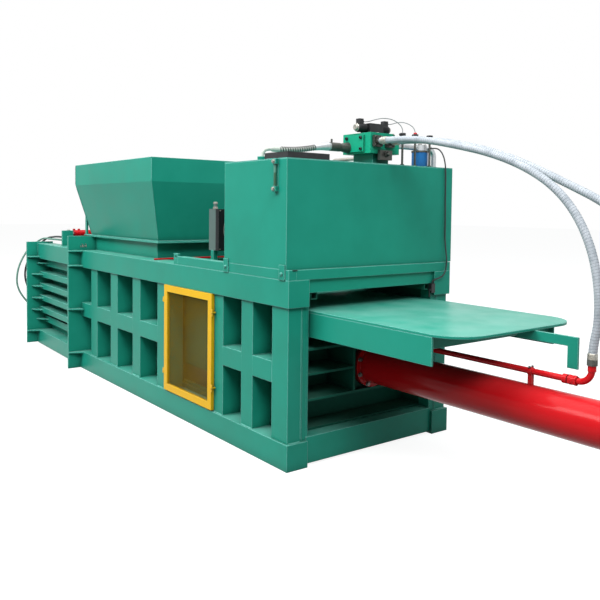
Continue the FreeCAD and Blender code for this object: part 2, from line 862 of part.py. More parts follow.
def bent_pipe(points, radius, bends):
    """A round pipe along straight runs joined by arcs. points are vectors, bends the arcs' radii."""
    edges, start = [], points[0]
    for i in range(1, len(points) - 1):
        corner, bend = points[i], bends[i - 1]
        before = (points[i - 1] - corner).normalize()
        after = (points[i + 1] - corner).normalize()
        half = (math.pi - before.getAngle(after)) / 2
        reach = bend * math.tan(half)
        first, last = corner + before * reach, corner + after * reach
        centre = corner + (before + after).normalize() * (bend / math.cos(half))
        middle = centre + (corner - centre).normalize() * bend
        edges += [Part.LineSegment(start, first).toShape(), Part.Arc(first, middle, last).toShape()]
        start = last
    edges.append(Part.LineSegment(start, points[-1]).toShape())
    path = Part.Wire(edges)
    ring = Part.Wire(Part.makeCircle(radius, points[0], points[1] - points[0]))
    return path.makePipeShell([ring], True, True)


def plain(shape):
    made = doc.addObject("Part::Feature", "shape")
    made.Shape = shape
    return made


def vector(back_by, inset_by, height):
    return FreeCAD.Vector(size("body_length") / 2 - back_by, -size("body_width") / 2 + inset_by, height)


def make_rod_pipe():
    middle = size("body_width") / 2
    height, out = size("pipe_height"), size("pipe_out") + size("pipe_bend_end")
    front = size("front_port_back")
    points = [vector(front, middle, size("boss_top")), vector(front, middle, height),
              vector(-out, middle, height), vector(-out, middle, size("pipe_end_height"))]
    pipe = plain(bent_pipe(points, size("pipe_radius"), [size("pipe_bend"), size("pipe_bend_end")]))
    clamp_x = centred("clamp_run", "body_length / 2 + clamp_out")
    leg = block(clamp_x, centred("clamp_run"), ("axis_height + barrel_radius - 4", "pipe_height"))
    collars = [round_bar("x", (f"body_length / 2 + collar_out - ({shift})", "0", "pipe_height"),
                         "collar_radius", "collar_run") for shift in ("0", "collar_run * 1.5")]
    saddle = round_bar("x", (clamp_x[0], "0", "pipe_height"), "pipe_radius + 5", "clamp_run")
    barrel_space = round_bar("x", (f"body_length / 2 + clamp_out - clamp_run", "0", "axis_height"),
                             "barrel_radius", "clamp_run * 2")
    foot = cut(leg, [barrel_space])
    end = round_bar("z", (f"body_length / 2 + pipe_out + pipe_bend_end", "0", "pipe_end_height - 30"),
                    "pipe_radius + 4", "30")
    node("rod_side_pipe", fuse([pipe, foot, saddle, end] + collars))


make_seat()
make_barrel()
make_rod()
make_rod_pipe()


# ---------------------------------------------------------------- ram and its cover plate

RAM_INSET = f"{WALL} + ram_gap"
COVER_LOW = "cover_top - cover_thick"


def make_ram():
    inner = across(RAM_INSET)
    side_run = span_x("ram_rear_back", "ram_front_back - ram_face_thick")
    face = block(span_x("ram_front_back - ram_face_thick", "ram_front_back"), inner,
                 (f"{FLOOR_TOP} + guide_height + runner_gap", COVER_LOW))
    pieces = [face]
    for side in SIDES:
        pieces.append(block(side_run, span_y(side, RAM_INSET, f"{RAM_INSET} + ram_plate"),
                            ("ram_side_low", COVER_LOW)))
    within = across(f"{RAM_INSET} + ram_plate")
    pieces.append(block(side_run, within, ("ram_side_low", "ram_side_low + ram_plate")))
    pieces.append(block(span_x("bulkhead_back", "bulkhead_back + bulkhead_thick"), within,
                        ("ram_side_low + ram_plate", COVER_LOW)))
    for sign in ("-", "+"):
        web = centred("ram_plate", f"{sign}rod_foot_radius * 1.4")
        pieces.append(block(span_x("bulkhead_back + bulkhead_thick", "ram_front_back - ram_face_thick"), web,
                            ("ram_side_low + ram_plate", COVER_LOW)))
    node("ram_box", fuse(pieces))
    runners = [block(side_run, span_y(side, f"{RAM_INSET} + 4", f"{RAM_INSET} + 4 + runner_width"),
                     (f"{FLOOR_TOP} + guide_height + runner_gap", "ram_side_low")) for side in SIDES]
    node("ram_runners", group(runners))


def make_cover():
    body = doc.addObject("PartDesign::Body", "cover")
    drawing = sketch(body, "XY_Plane", COVER_LOW)
    xs = (back("ram_front_back"), f"body_length / 2 + cover_out")
    polygon(drawing, rectangle(xs, across(RAM_INSET)))
    plate = pad(body, drawing, "cover_thick")
    body.recompute(True)
    reach = size("body_length") / 2 + size("cover_out")
    corners = []
    for number, edge in enumerate(plate.Shape.Edges, 1):
        ends = [v.Point for v in edge.Vertexes]
        upright = abs(ends[0].x - ends[1].x) + abs(ends[0].y - ends[1].y) < 0.01
        if upright and abs(ends[0].x - reach) < 0.01:
            corners.append("Edge%d" % number)
    rounding = body.newObject("PartDesign::Fillet", "corner")
    rounding.Base = (plate, corners)
    bind(rounding, "Radius", "cover_corner")
    body.Tip = rounding
    node("cover_plate", body)
    skirts = []
    for side in SIDES:
        skirts.append(block(span_x("-skirt_out", "ram_rear_back"),
                            span_y(side, RAM_INSET, f"{RAM_INSET} + ram_plate"), ("skirt_low", COVER_LOW)))
    for out in ("stiffener_out", "stiffener_out - 650", "stiffener_out - 1300"):
        xs = (f"body_length / 2 + {out} - ram_plate", f"body_length / 2 + {out}")
        skirts.append(block(xs, across(f"{RAM_INSET} + ram_plate"), ("stiffener_low", COVER_LOW)))
    node("cover_skirts", group(skirts))
    tip = "body_length / 2 + arm_out"
    outline = [("body_length / 2 + arm_start", COVER_LOW), ("body_length / 2 + arm_start", f"{COVER_LOW} - arm_height"),
               (f"{tip} - arm_leg_run", f"{COVER_LOW} - arm_height"), (f"{tip} - arm_leg_run", "arm_leg_low"),
               (tip, "arm_leg_low"), (tip, COVER_LOW)]
    node("trigger_arm", profile_body("XZ_Plane", outline, "-arm_offset - arm_thick", "arm_thick"))


make_ram()
make_cover()


# ---------------------------------------------------------------- guard door

DOOR_BACK_Y = "face_step - door_gap"                  # inset of the door's inner face
DOOR_PIN_X = back("door_back + door_width + door_pin_offset")
DOOR_PIN_Y = inset(NEAR, "face_step - knuckle_radius - door_gap")


def make_door():
    frame = doc.addObject("PartDesign::Body", "door")
    drawing = sketch(frame, "XZ_Plane", f"-({inset(NEAR, DOOR_BACK_Y)})")
    xs = span_x("door_back", "door_back + door_width")
    zs = upward("door_low", "door_height")
    polygon(drawing, rectangle(xs, zs))
    polygon(drawing, rectangle(grown(xs, "-door_bar"), grown(zs, "-door_bar")))
    pad(frame, drawing, "door_thick")
    pieces, holes = [frame], []
    for height in ("upper_hinge_height", "lower_hinge_height"):
        low = f"{height} + knuckle_gap"
        pieces.append(round_bar("z", (DOOR_PIN_X, DOOR_PIN_Y, low), "knuckle_radius", "knuckle_height"))
        leaf_y = (f"{DOOR_PIN_Y} - knuckle_radius", f"{DOOR_PIN_Y} - knuckle_radius + 6")
        leaf_x = (DOOR_PIN_X, back("door_back + door_width - 1"))
        pieces.append(block(leaf_x, leaf_y, upward(low, "knuckle_height")))
        holes.append(round_bar("z", (DOOR_PIN_X, DOOR_PIN_Y, f"{low} - 1"), "door_pin_radius + running_gap",
                               "knuckle_height + 2"))
    node("door_frame", cut(fuse(pieces), holes))
    make_mesh(xs, zs)
    fixed = []
    for height in ("upper_hinge_height", "lower_hinge_height"):
        low = f"{height} - knuckle_gap - knuckle_height"
        fixed.append(fuse([
            round_bar("z", (DOOR_PIN_X, DOOR_PIN_Y, low), "knuckle_radius", "knuckle_height"),
            round_bar("z", (DOOR_PIN_X, DOOR_PIN_Y, low), "door_pin_radius",
                      "knuckle_height * 2 + knuckle_gap * 2 + 3"),
            block((DOOR_PIN_X + " - 28", DOOR_PIN_X), (DOOR_PIN_Y, inset(NEAR, "face_step")),
                  upward(low, "knuckle_height"))]))
    node("door_hinges", group(fixed))


def make_mesh(xs, zs):
    """The mesh in the frame: a grid of flat wires with openings between them."""
    open_x, open_z = grown(xs, "-door_bar"), grown(zs, "-door_bar")
    middle = f"{inset(NEAR, DOOR_BACK_Y)} - door_thick / 2"
    ys = centred("mesh_thick", middle)
    wires = []
    for count, low, high, spans in (("mesh_columns", open_x[0], open_x[1], "x"), ("mesh_rows", open_z[0], open_z[1], "z")):
        for i in range(int(size(count)) + 1):
            at = f"({low}) + mesh_wire / 2 + {i} * (({high}) - ({low}) - mesh_wire) / {count}"
            place = centred("mesh_wire", at)
            wires.append(block(place, ys, open_z) if spans == "x" else block(open_x, ys, place))
    node("door_mesh", fuse(wires))


def make_latch(name, height):
    """A turn button beside the door's free edge, between its shank and its bolt head."""
    x = back("door_back - latch_gap - latch_width / 2")
    face = f"({inset(NEAR, DOOR_BACK_Y)} - door_thick)"
    button_back = f"({face} - door_gap)"
    button_front = f"({button_back} - latch_thick)"
    button = block(centred("latch_width", x), (button_front, button_back), centred("latch_length", height))
    shank = round_bar("y", (x, button_back, height), "latch_width * 0.36",
                      f"{inset(NEAR, 'face_step')} - button_gap - {button_back}")
    head = round_bar("y", (x, f"{button_front} - latch_head", height), "latch_width * 0.36", "latch_head")
    node(name, group([shank, button, head]))


make_door()
make_latch("upper_latch", "upper_latch_height")
make_latch("lower_latch", "lower_latch_height")


# ---------------------------------------------------------------- oil tank

BASE_TOP = "body_height + tank_base_height"
TANK_X = span_x("tank_front", "tank_front + tank_run")
TANK_Y = (inset(NEAR, "0"), f"{inset(NEAR, '0')} + tank_width")


def make_tank_base():
    pieces = []
    zs = ("body_height", BASE_TOP)
    for side in SIDES:
        ys = span_y(side, "0", "tank_base_width")
        pieces.append(tube("x", span_x("0", "skid_run"), ys, zs, wall="thin_wall", closed="high"))
        ear = block(span_x("skid_run", "skid_run + lug_run"), span_y(side, "0", "lug_thick"),
                    upward("body_height", "lug_height"))
        eye = round_bar("y", (back("skid_run + lug_run / 2"), f"{span_y(side, '0', 'lug_thick')[0]} - 1",
                              "body_height + lug_height - lug_run / 2.6"), "lug_hole", "lug_thick + 2")
        pieces.append(cut(ear, [eye]))
        for start in ("tank_front + 6", "tank_front + tank_run - tab_run"):
            pieces.append(block(span_x(start, f"{start} + tab_run"), span_y(side, "-tab_thick", "0"),
                                upward("body_height", "tab_height" if side == NEAR else "tank_base_height")))
    inner = across("tank_base_width")
    for start in ("0", "tank_front + tank_run - tank_base_width"):
        pieces.append(tube("y", span_x(start, f"{start} + tank_base_width"), inner, zs, wall="thin_wall"))
    node("tank_base", group(pieces))


def make_tank():
    zs = (BASE_TOP, "tank_top_height - tank_sheet")
    shell = cut(block(TANK_X, TANK_Y, zs),
                [block(grown(TANK_X, "-tank_sheet"), grown(TANK_Y, "-tank_sheet"),
                       (f"{BASE_TOP} + tank_sheet", "tank_top_height + 1"))])
    node("tank_shell", shell)
    lid = block(TANK_X, TANK_Y, ("tank_top_height - tank_sheet", "tank_top_height"))
    block_mid_x = back("block_front + block_run / 2")
    block_mid_y = f"{inset(NEAR, 'block_inset')} + block_width / 2"
    pedestal = tube("z", centred("pedestal_run", block_mid_x), centred("pedestal_width", block_mid_y),
                    ("tank_top_height", "block_low"))
    gland = round_bar("z", (back("gland_back"), inset(NEAR, "gland_inset"), "tank_top_height"), "gland_radius",
                      "gland_height")
    node("tank_lid", group([fuse([lid, gland]), pedestal]))


def make_gauge():
    face = inset(NEAR, "0")
    x = centred("gauge_width", back("gauge_back + gauge_width / 2"))
    ys = (f"{face} - gauge_depth", face)
    heads = [block(x, ys, upward(low, "gauge_head"))
             for low in ("gauge_low", "gauge_low + gauge_height - gauge_head")]
    spine = block(x, (f"{face} - 3", face), upward("gauge_low", "gauge_height"))
    node("level_gauge", fuse(heads + [spine]))
    node("gauge_tube", round_bar("z", (back("gauge_back + gauge_width / 2"), f"{face} - gauge_depth / 2 - 2",
                                       "gauge_low + gauge_head"), "gauge_tube_radius",
                                 "gauge_height - 2 * gauge_head"))


def make_duct():
    near_edge = (inset(NEAR, "4"), f"{inset(NEAR, '4')} + duct_width")
    arm = block(span_x("tank_front", "tank_front + duct_run"), near_edge, upward("tank_top_height", "duct_height"))
    end_arm = block(span_x("tank_front", "tank_front + duct_width"), (near_edge[0], f"{near_edge[0]} + duct_reach"),
                    upward("tank_top_height", "duct_height"))
    node("cable_duct", fuse([arm, end_arm]))


def make_valves():
    xs = span_x("block_front", "block_front + block_run")
    low_y = inset(NEAR, "block_inset")
    ys = (low_y, f"{low_y} + block_width")
    zs = upward("block_low", "block_height")
    core = block(xs, ys, zs)
    chamfer_x = f"({xs[1]}) - 40"
    shoulder = block((chamfer_x, f"{xs[1]} + 1"), (f"{ys[1]} - 60", f"{ys[1]} + 1"),
                     (f"{zs[1]} - 45", f"{zs[1]} + 1"))
    cheek = block((f"{xs[0]} + 40", f"{xs[1]} - 60"), (f"{ys[0]} - cheek_thick", ys[0]),
                  (f"{zs[0]} + 12", f"{zs[1]} - 14"))
    node("valve_block", cut(fuse([core, cheek]), [shoulder]))
    top = zs[1]
    pilot_x = centred("pilot_run", back("pilot_back"))
    pilot_mid = f"(({ys[0]}) + ({ys[1]})) / 2"
    body = block(pilot_x, centred("pilot_width", pilot_mid), upward(top, "pilot_height * 0.8"))
    coil_y = centred("pilot_reach", pilot_mid)
    coil = round_bar("y", (back("pilot_back"), coil_y[0], f"{top} + pilot_height * 0.45"), "solenoid_radius",
                     "pilot_reach")
    plugs = []
    for low in (f"{coil_y[0]} + 8", f"{coil_y[1]} - 8 - plug_run"):
        plugs.append(block(centred("plug_run", back("pilot_back")), (low, f"{low} + plug_run"),
                           upward(f"{top} + pilot_height * 0.5", "pilot_height * 0.62")))
    node("pilot_valves", fuse([body, coil] + plugs))
    flanges = []
    hose_ys = ("block_inset + main_port", "block_inset + rear_port")
    for hose_y in hose_ys:
        middle = inset(NEAR, hose_y)
        plate = block((xs[1], f"{xs[1]} + hose_flange_thick"), centred("hose_flange_size", middle),
                      centred("hose_flange_size", "hose_height"))
        neck = round_bar("x", (f"{xs[1]} + hose_flange_thick", middle, "hose_height"), "hose_radius * 1.15",
                         "hose_neck")
        flanges.append(fuse([plate, neck]))
    start = f"{ys[0]} - cheek_thick"
    side_x = back("block_front + block_run - guard_port")
    adapter = cone("y", (side_x, f"{start} - adapter_run", "guard_hose_height"), "guard_hose_radius * 1.2",
                   "guard_hose_radius * 1.9", "adapter_run")
    sleeve_y = f"{start} - adapter_run - sleeve_run"
    sleeve = round_bar("y", (side_x, sleeve_y, "guard_hose_height"), "guard_hose_radius * 1.45", "sleeve_run")
    bleed = round_bar("z", (side_x, f"{sleeve_y} + sleeve_run / 5", "guard_hose_height + guard_hose_radius * 1.3"),
                      "7", "26")
    flanges.append(fuse([adapter, sleeve, bleed]))
    relief = block((f"{xs[1]}", f"{xs[1]} + 24"), (f"{ys[0]} + 70", f"{ys[1]} - 90"),
                   (f"{zs[0]} - 45", f"{zs[0]} + 22"))
    flanges.append(relief)
    node("valve_fittings", group(flanges))


def make_filter():
    x, y = back("filter_back"), inset(NEAR, "filter_inset")
    bowl = round_bar("z", (x, y, "tank_top_height"), "filter_radius", "filter_height")
    node("filter_bowl", bowl)
    top = "tank_top_height + filter_height"
    head = round_bar("z", (x, y, top), "filter_radius * 0.85", "filter_head_height")
    side_y = f"{inset(NEAR, 'block_inset')} + block_width"
    line_z = f"{top} + filter_head_height / 2"
    inlet = round_bar("y", (x, side_y, line_z), "line_radius", f"{y} - ({side_y})")
    reach, drop = size("elbow_reach"), size("filter_height") + size("filter_head_height") / 2
    points = [FreeCAD.Vector(0, 0, 0), FreeCAD.Vector(0, reach, 0), FreeCAD.Vector(0, reach, -drop)]
    elbow = plain(bent_pipe(points, size("line_radius"), [size("elbow_bend")]))
    bind(elbow, "Placement.Base.x", x)
    bind(elbow, "Placement.Base.y", y)
    bind(elbow, "Placement.Base.z", line_z)
    boss = round_bar("x", (x, f"{y} + cable_boss_reach", line_z), "line_radius * 0.75", "cable_boss_run")
    node("filter_head", fuse([head, inlet, elbow, boss]))


def make_switches():
    """Three pressure switches with plug caps, on stand pipes beside the filter."""
    stands = []
    for where, place in (("switch_back", "switch_first"), ("switch_back", "switch_second"),
                         ("third_switch_back", "switch_third")):
        x, y = back(where), inset(NEAR, place)
        stem = round_bar("z", (x, y, "tank_top_height"), "8", "plug_height - tank_top_height")
        cap = block(centred("plug_size", x), centred("plug_size", y), upward("plug_height", "plug_size * 0.8"))
        stands.append(fuse([stem, cap]))
    node("pressure_switches", group(stands))


make_tank_base()
make_tank()
make_gauge()
make_duct()
make_valves()
make_filter()
make_switches()


# ---------------------------------------------------------------- pump set and cooler

def make_pump_set():
    y = inset(NEAR, "motor_inset")
    start = "motor_back - motor_run / 2"
    shell = round_bar("x", (back("motor_back + motor_run / 2"), y, "motor_axis"), "motor_radius", "motor_run")
    cowl = round_bar("x", (back("motor_back + motor_run / 2 + 70"), y, "motor_axis"), "motor_radius * 0.96", "71")
    box = block(centred("130", back("motor_back")), centred("110", y),
                ("motor_axis + motor_radius * 0.9", "motor_axis + motor_radius + 70"))
    feet = block(centred("motor_foot", back("motor_back")), centred("motor_radius * 1.7", y),
                 ("motor_axis - motor_radius - 12", "motor_axis - motor_radius * 0.6"))
    node("pump_motor", fuse([shell, cowl, box, feet]))
    bell_x = back(start)
    bell = cone("x", (bell_x, y, "motor_axis"), "motor_radius * 0.95", "bell_radius * 0.8", "bell_run")
    body = round_bar("x", (f"{bell_x} + bell_run", y, "motor_axis"), "pump_radius", "pump_run")
    middle = f"{bell_x} + bell_run + pump_run / 2"
    outlet = round_bar("z", (middle, y, "motor_axis"), "steel_pipe_radius * 1.6", "pump_radius + port_boss")
    inlet = round_bar("y", (middle, y, "motor_axis"), "suction_radius * 1.3", "pump_radius + port_boss")
    node("pump", fuse([bell, body, outlet, inlet]))
    base_top = "motor_axis - motor_radius - 12"
    base_y = centred("motor_radius * 2.2", y)
    bed = block(centred("motor_foot + 60", back("motor_back")), base_y, (f"{base_top} - 12", base_top))
    legs = []
    for start_at in ("pump_beam_back", "cooler_back + cooler_run / 2 - beam_run / 2"):
        legs.append(block(span_x(f"{start_at} + 15", f"{start_at} + 65"), base_y, ("body_height", f"{base_top} - 12")))
    runners = block(span_x("pump_beam_back + 15", "cooler_back + cooler_run / 2 + 25"),
                    centred("60", y), (f"{base_top} - 52", f"{base_top} - 12"))
    bed_frame = fuse([bed, runners] + legs)
    cooler_y = inset(NEAR, "cooler_inset")
    stands = []
    for low in (cooler_y, f"{cooler_y} + cooler_width - leg_size"):
        stands.append(block(centred("leg_size", back("cooler_back + cooler_run / 2")), (low, f"{low} + leg_size"),
                            ("body_height", "cooler_low")))
    node("pump_bed", group([bed_frame] + stands))


def make_pump_pipes():
    y = size("motor_inset")
    axis = size("motor_axis")
    pump_front = size("motor_back") - size("motor_run") / 2 - size("bell_run") - size("pump_run")
    tank_rear = size("tank_front") + size("tank_run")
    middle = pump_front + size("pump_run") / 2
    lift = size("tank_top_height") + size("steel_pipe_lift")
    block_rear = size("block_front") + size("block_run")
    port = size("pump_radius") + size("port_boss")
    turn_back = block_rear + size("steel_pipe_reach")
    entry_inset = size("block_inset") + size("steel_pipe_shift")
    entry_height = lift + size("steel_pipe_rise")
    pressure = [vector(middle, y, axis + port), vector(middle, y, lift), vector(turn_back, y, lift),
                vector(turn_back, entry_inset, entry_height), vector(block_rear, entry_inset, entry_height)]
    suction_inset = y + port + size("suction_reach")
    suction = [vector(middle, y + port, axis), vector(middle, suction_inset, axis),
               vector(tank_rear, suction_inset, axis)]
    pipes = [plain(bent_pipe(pressure, size("steel_pipe_radius"), [50, 50, 40, 40])),
             plain(bent_pipe(suction, size("suction_radius"), [60]))]
    node("pump_pipes", group(pipes))


def make_cooler():
    xs = span_x("cooler_back", "cooler_back + cooler_run")
    y0 = inset(NEAR, "cooler_inset")
    ys = (y0, f"{y0} + cooler_width")
    zs = upward("cooler_low", "cooler_height")
    core = block(xs, ys, zs)
    fins = []
    for i in range(8):
        low = f"cooler_low + 24 + {i} * (cooler_height - 48) / 8"
        fins.append(block((f"{xs[0]} - 1", f"{xs[0]} + 12"), grown(ys, "-40"),
                          (low, f"{low} + (cooler_height - 48) / 16")))
    port = round_bar("z", (f"{xs[0]} + cooler_run / 2", f"{y0} + 28", zs[1]), "14", "58")
    low_port = round_bar("z", (f"{xs[0]} + cooler_run / 2", f"{ys[1]} - 28", zs[1]), "14", "58")
    node("cooler_core", fuse([cut(core, fins), port, low_port]))
    middle = (f"{y0} + cooler_width / 2", "cooler_low + cooler_height / 2")
    shroud_x = (xs[1], f"{xs[1]} + shroud_run")
    shell = cut(block(shroud_x, ys, zs),
                [round_bar("x", (f"{xs[1]} - 1", middle[0], middle[1]), "fan_radius + 8", "shroud_run + 2")])
    spider = block((f"{shroud_x[1]} - 8", shroud_x[1]), ys, centred("26", middle[1]))
    shaft_hole = round_bar("x", (f"{xs[1]} - 1", middle[0], middle[1]), "fan_shaft_radius + running_gap",
                           "shroud_run + 2")
    node("cooler_shroud", cut(fuse([shell, spider]), [shaft_hole]))
    can = round_bar("x", (f"{shroud_x[1]}", middle[0], middle[1]), "fan_motor_radius", "fan_motor_run")
    pocket = round_bar("x", (f"{shroud_x[1]} - 1", middle[0], middle[1]), "fan_shaft_radius + running_gap", "26")
    node("fan_motor", cut(can, [pocket]))
    make_fan(xs[1], middle)


def make_fan(rear_x, middle):
    """Hub, five flat pitched blades and the shaft stub that the fan motor turns."""
    hub_x = f"{rear_x} + 10"
    hub = round_bar("x", (hub_x, middle[0], middle[1]), "fan_hub_radius", "24")
    shaft = round_bar("x", (hub_x, middle[0], middle[1]), "fan_shaft_radius", "shroud_run + 10")
    radius, inner = size("fan_radius"), size("fan_hub_radius") - 6
    blades = []
    for i in range(5):
        blade = Part.makeBox(3, 62, radius - inner - 6, FreeCAD.Vector(-1.5, -31, inner))
        blade.rotate(FreeCAD.Vector(), FreeCAD.Vector(0, 0, 1), 20)
        blade.rotate(FreeCAD.Vector(), FreeCAD.Vector(1, 0, 0), i * 72)
        made = plain(blade)
        bind(made, "Placement.Base.x", f"{hub_x} + 12")
        bind(made, "Placement.Base.y", middle[0])
        bind(made, "Placement.Base.z", middle[1])
        blades.append(made)
    node("cooler_fan", fuse([hub, shaft] + blades))


make_pump_set()
make_pump_pipes()
make_cooler()


# ---------------------------------------------------------------- limit switch and its cable

def make_limit_switch():
    """A lever switch on the far post's inner strip, just above the cover plate."""
    low = inset(NEAR, "limit_inset")
    ys = (low, f"{low} + limit_width")
    body = block(span_x("-6", "end_step + jamb_step"), ys, upward("limit_low", "limit_height"))
    pivot = round_bar("y", (back("8"), f"{low} - 12", "limit_low + 20"), "9", "13")
    lever = block(span_x("4", "12"), (f"{low} - 12", f"{low} - 6"), ("limit_low - 30", "limit_low + 20"))
    node("limit_switch", fuse([body, pivot, lever]))


make_limit_switch()


# ---------------------------------------------------------------- outlet

OUTLET = "body_length + flange_thick"
PANEL_START = f"{OUTLET} + outlet_gap"
PANEL_END = f"{OUTLET} + panel_run"


def outlet_outline(margin, end):
    """A floor or roof that narrows towards the outlet as the panels do."""
    start_x, end_x = back(OUTLET), back(end)
    wide = f"(body_width / 2 - ({WALL}) - {margin})"
    narrow = f"({wide} - outlet_taper * (({end}) - ({OUTLET})) / panel_run)"
    return [(start_x, f"-{wide}"), (start_x, wide), (end_x, narrow), (end_x, f"-{narrow}")]


def make_outlet_fixed():
    floor = profile_body("XY_Plane", outlet_outline("outlet_clearance", PANEL_END), "floor_low", "floor_thick")
    half = "body_width / 2 - (rail_depth + liner_thick) - outlet_clearance - outlet_taper"
    joists = []
    for start in (f"{OUTLET} + 30", f"{OUTLET} + 400", f"{OUTLET} + squeeze_back - 170"):
        joists.append(tube("y", span_x(start, f"{start} + joist_run * 0.8"), (f"-({half})", half), ("0", "floor_low")))
    for sign in ("-", "+"):
        joists.append(block(span_x(f"{OUTLET} + squeeze_back - 90", PANEL_END), centred("50", f"{sign}300"),
                            ("floor_low - 35", "floor_low")))
    node("outlet_floor", group([floor] + joists))
    roof = profile_body("XY_Plane", outlet_outline("outlet_clearance", PANEL_END), "roof_low", "roof_thick")
    beams = []
    for middle in ("-320", "0", "320"):
        beams.append(block(span_x(OUTLET, f"{PANEL_END} - 60"), centred("14", middle),
                           upward("roof_low + roof_thick", "roof_beam_height")))
    for start in (f"{OUTLET} + 330", f"{OUTLET} + 700", f"{OUTLET} + 1250"):
        for low, high in (("-306", "-7"), ("7", "306")):
            beams.append(block(span_x(start, f"{start} + 14"), (f"{low} - 7" if low == "-306" else low,
                                                               f"{high} + 7" if high == "306" else high),
                               upward("roof_low + roof_thick", "roof_beam_height * 0.7")))
    node("outlet_roof", fuse([roof] + beams))
    pins = [round_bar("z", (HINGE_X, inset(side, "hinge_inset"), "panel_low"), "hinge_pin_radius",
                      "panel_top - panel_low + 12") for side in SIDES]
    node("outlet_hinge_pins", group(pins))


def make_panel(side):
    """A squeeze panel in line with the body, then swung in about its pin."""
    skin = "rail_depth - 2"
    rail_low = "panel_top - panel_rail_height"
    sill_top = "panel_low + panel_sill_height"
    run = span_x(f"{PANEL_START} + end_plate_thick", PANEL_END)
    flange_x = back(PANEL_END)
    pieces = [
        block(span_x(PANEL_START, PANEL_END), span_y(side, skin, WALL), ("panel_low", "panel_top")),
        block(span_x(PANEL_START, f"{PANEL_START} + end_plate_thick"), span_y(side, "0", skin),
              ("panel_low", "panel_top")),
        block((f"{flange_x} - flange_thick", flange_x), span_y(side, "-flange_reach", WALL),
              ("panel_flange_low", "panel_flange_top")),
    ]
    for zs in ((rail_low, "panel_top"), ("panel_low", sill_top)):
        pieces.append(tube("x", run, span_y(side, "0", skin), zs))
    ribs = [(f"rib_low + {i} * rib_step", "rib_height", "rib_inset") for i in range(4)]
    ribs += [("deep_rib_low", "deep_rib_height", "deep_rib_inset"),
             ("deep_rib_high", "deep_rib_height", "deep_rib_inset")]
    for low, height, depth in ribs:
        pieces.append(tube("x", run, span_y(side, depth, skin), upward(low, height), wall="rib_wall"))
        root, outer = inset(side, depth), inset(side, f"{depth} - wedge_reach")
        wedge = [(flange_x, outer), (f"{flange_x} + wedge_tip", outer), (f"{flange_x} + wedge_run", root),
                 (flange_x, root)]
        middle = f"{low} + ({height} - gusset_thick) / 2"
        pieces.append(profile_body("XY_Plane", wedge, middle, "gusset_thick"))
    edge, face = inset(side, "-flange_reach"), inset(side, "0")
    gusset = [(flange_x, edge), (f"{flange_x} + wedge_tip", edge), (f"{flange_x} + gusset_run", face), (flange_x, face)]
    for low in (f"{rail_low} + gusset_thick", f"{sill_top} - gusset_thick"):
        pieces.append(profile_body("XY_Plane", gusset, low, "gusset_thick"))
    for low in ("panel_low + 5 + hinge_knuckle_height + 3", "body_height / 2 + hinge_knuckle_height / 2 + 3",
                "panel_top - 2 * hinge_knuckle_height - 8"):
        pieces.append(panel_knuckle(side, low))
    pieces += squeeze_ears(side)
    if side == NEAR:
        start = f"{OUTLET} + squeeze_back + 55"
        pieces.append(block(span_x(start, f"{start} + 50"), span_y(side, WALL, "low_squeeze_inset + 28"),
                            ("low_squeeze_height - 25", "low_squeeze_height + 70")))
    node(f"{side}_panel", swing(group(pieces), side))


def panel_knuckle(side, low):
    """The swinging half of a panel hinge, on the panel's end plate."""
    middle = inset(side, "hinge_inset")
    height = "hinge_knuckle_height * 0.8"
    eye = round_bar("z", (HINGE_X, middle, low), "hinge_knuckle_radius", height)
    arm = block((back(PANEL_START), HINGE_X), centred("hinge_knuckle_radius * 1.2", middle), upward(low, height))
    hole = round_bar("z", (HINGE_X, middle, f"{low} - 1"), "hinge_pin_radius + running_gap", f"{height} + 2")
    return cut(fuse([eye, arm]), [hole])


SQUEEZE_X = back(f"{OUTLET} + squeeze_back")
SQUEEZES = {
    "top": ("squeeze_inset", "squeeze_height"),
    "low": ("low_squeeze_inset", "low_squeeze_height"),
}


def squeeze_ears(side):
    """A plate above and one below each squeeze cylinder's eye, which is pinned between them."""
    pieces = []
    for which, (depth, height) in SQUEEZES.items():
        middle = inset(side, depth)
        for low in (f"{height} - eye_height / 2 - ear_gap - ear_thick", f"{height} + eye_height / 2 + ear_gap"):
            zs = upward(low, "ear_thick")
            end = round_bar("z", (SQUEEZE_X, middle, low), "eye_radius", "ear_thick")
            if which == "top":
                stem = block((SQUEEZE_X, f"{SQUEEZE_X} + eye_radius + ear_offset"), centred("eye_radius * 2", middle), zs)
            else:
                stem = block(centred("eye_radius * 2", SQUEEZE_X), span_y(side, WALL, depth), zs)
            hole = round_bar("z", (SQUEEZE_X, middle, f"{low} - 1"), "squeeze_pin", "ear_thick + 2")
            pieces.append(cut(fuse([end, stem]), [hole]))
    depth, height = SQUEEZES["top"]
    face = f"({SQUEEZE_X} + eye_radius + ear_offset)"
    ys = span_y(side, f"{depth} - eye_radius - port_block", f"{depth} + eye_radius")
    top = f"{height} + eye_height / 2 + ear_gap + ear_thick"
    pieces.append(block((face, f"{face} + ear_web"), ys, ("panel_top", top)))
    return pieces


def swung_place(side, depth):
    """Where a point of the straight panel, in line with the squeeze cylinders, lies once swung in."""
    angle = "-squeeze_deg" if side == NEAR else "squeeze_deg"
    hinge_y = inset(side, "hinge_inset")
    dx, dy = f"({SQUEEZE_X} - {HINGE_X})", f"({inset(side, depth)} - {hinge_y})"
    return (f"{HINGE_X} + {dx} * cos({angle}) - {dy} * sin({angle})",
            f"{hinge_y} + {dx} * sin({angle}) + {dy} * cos({angle})")


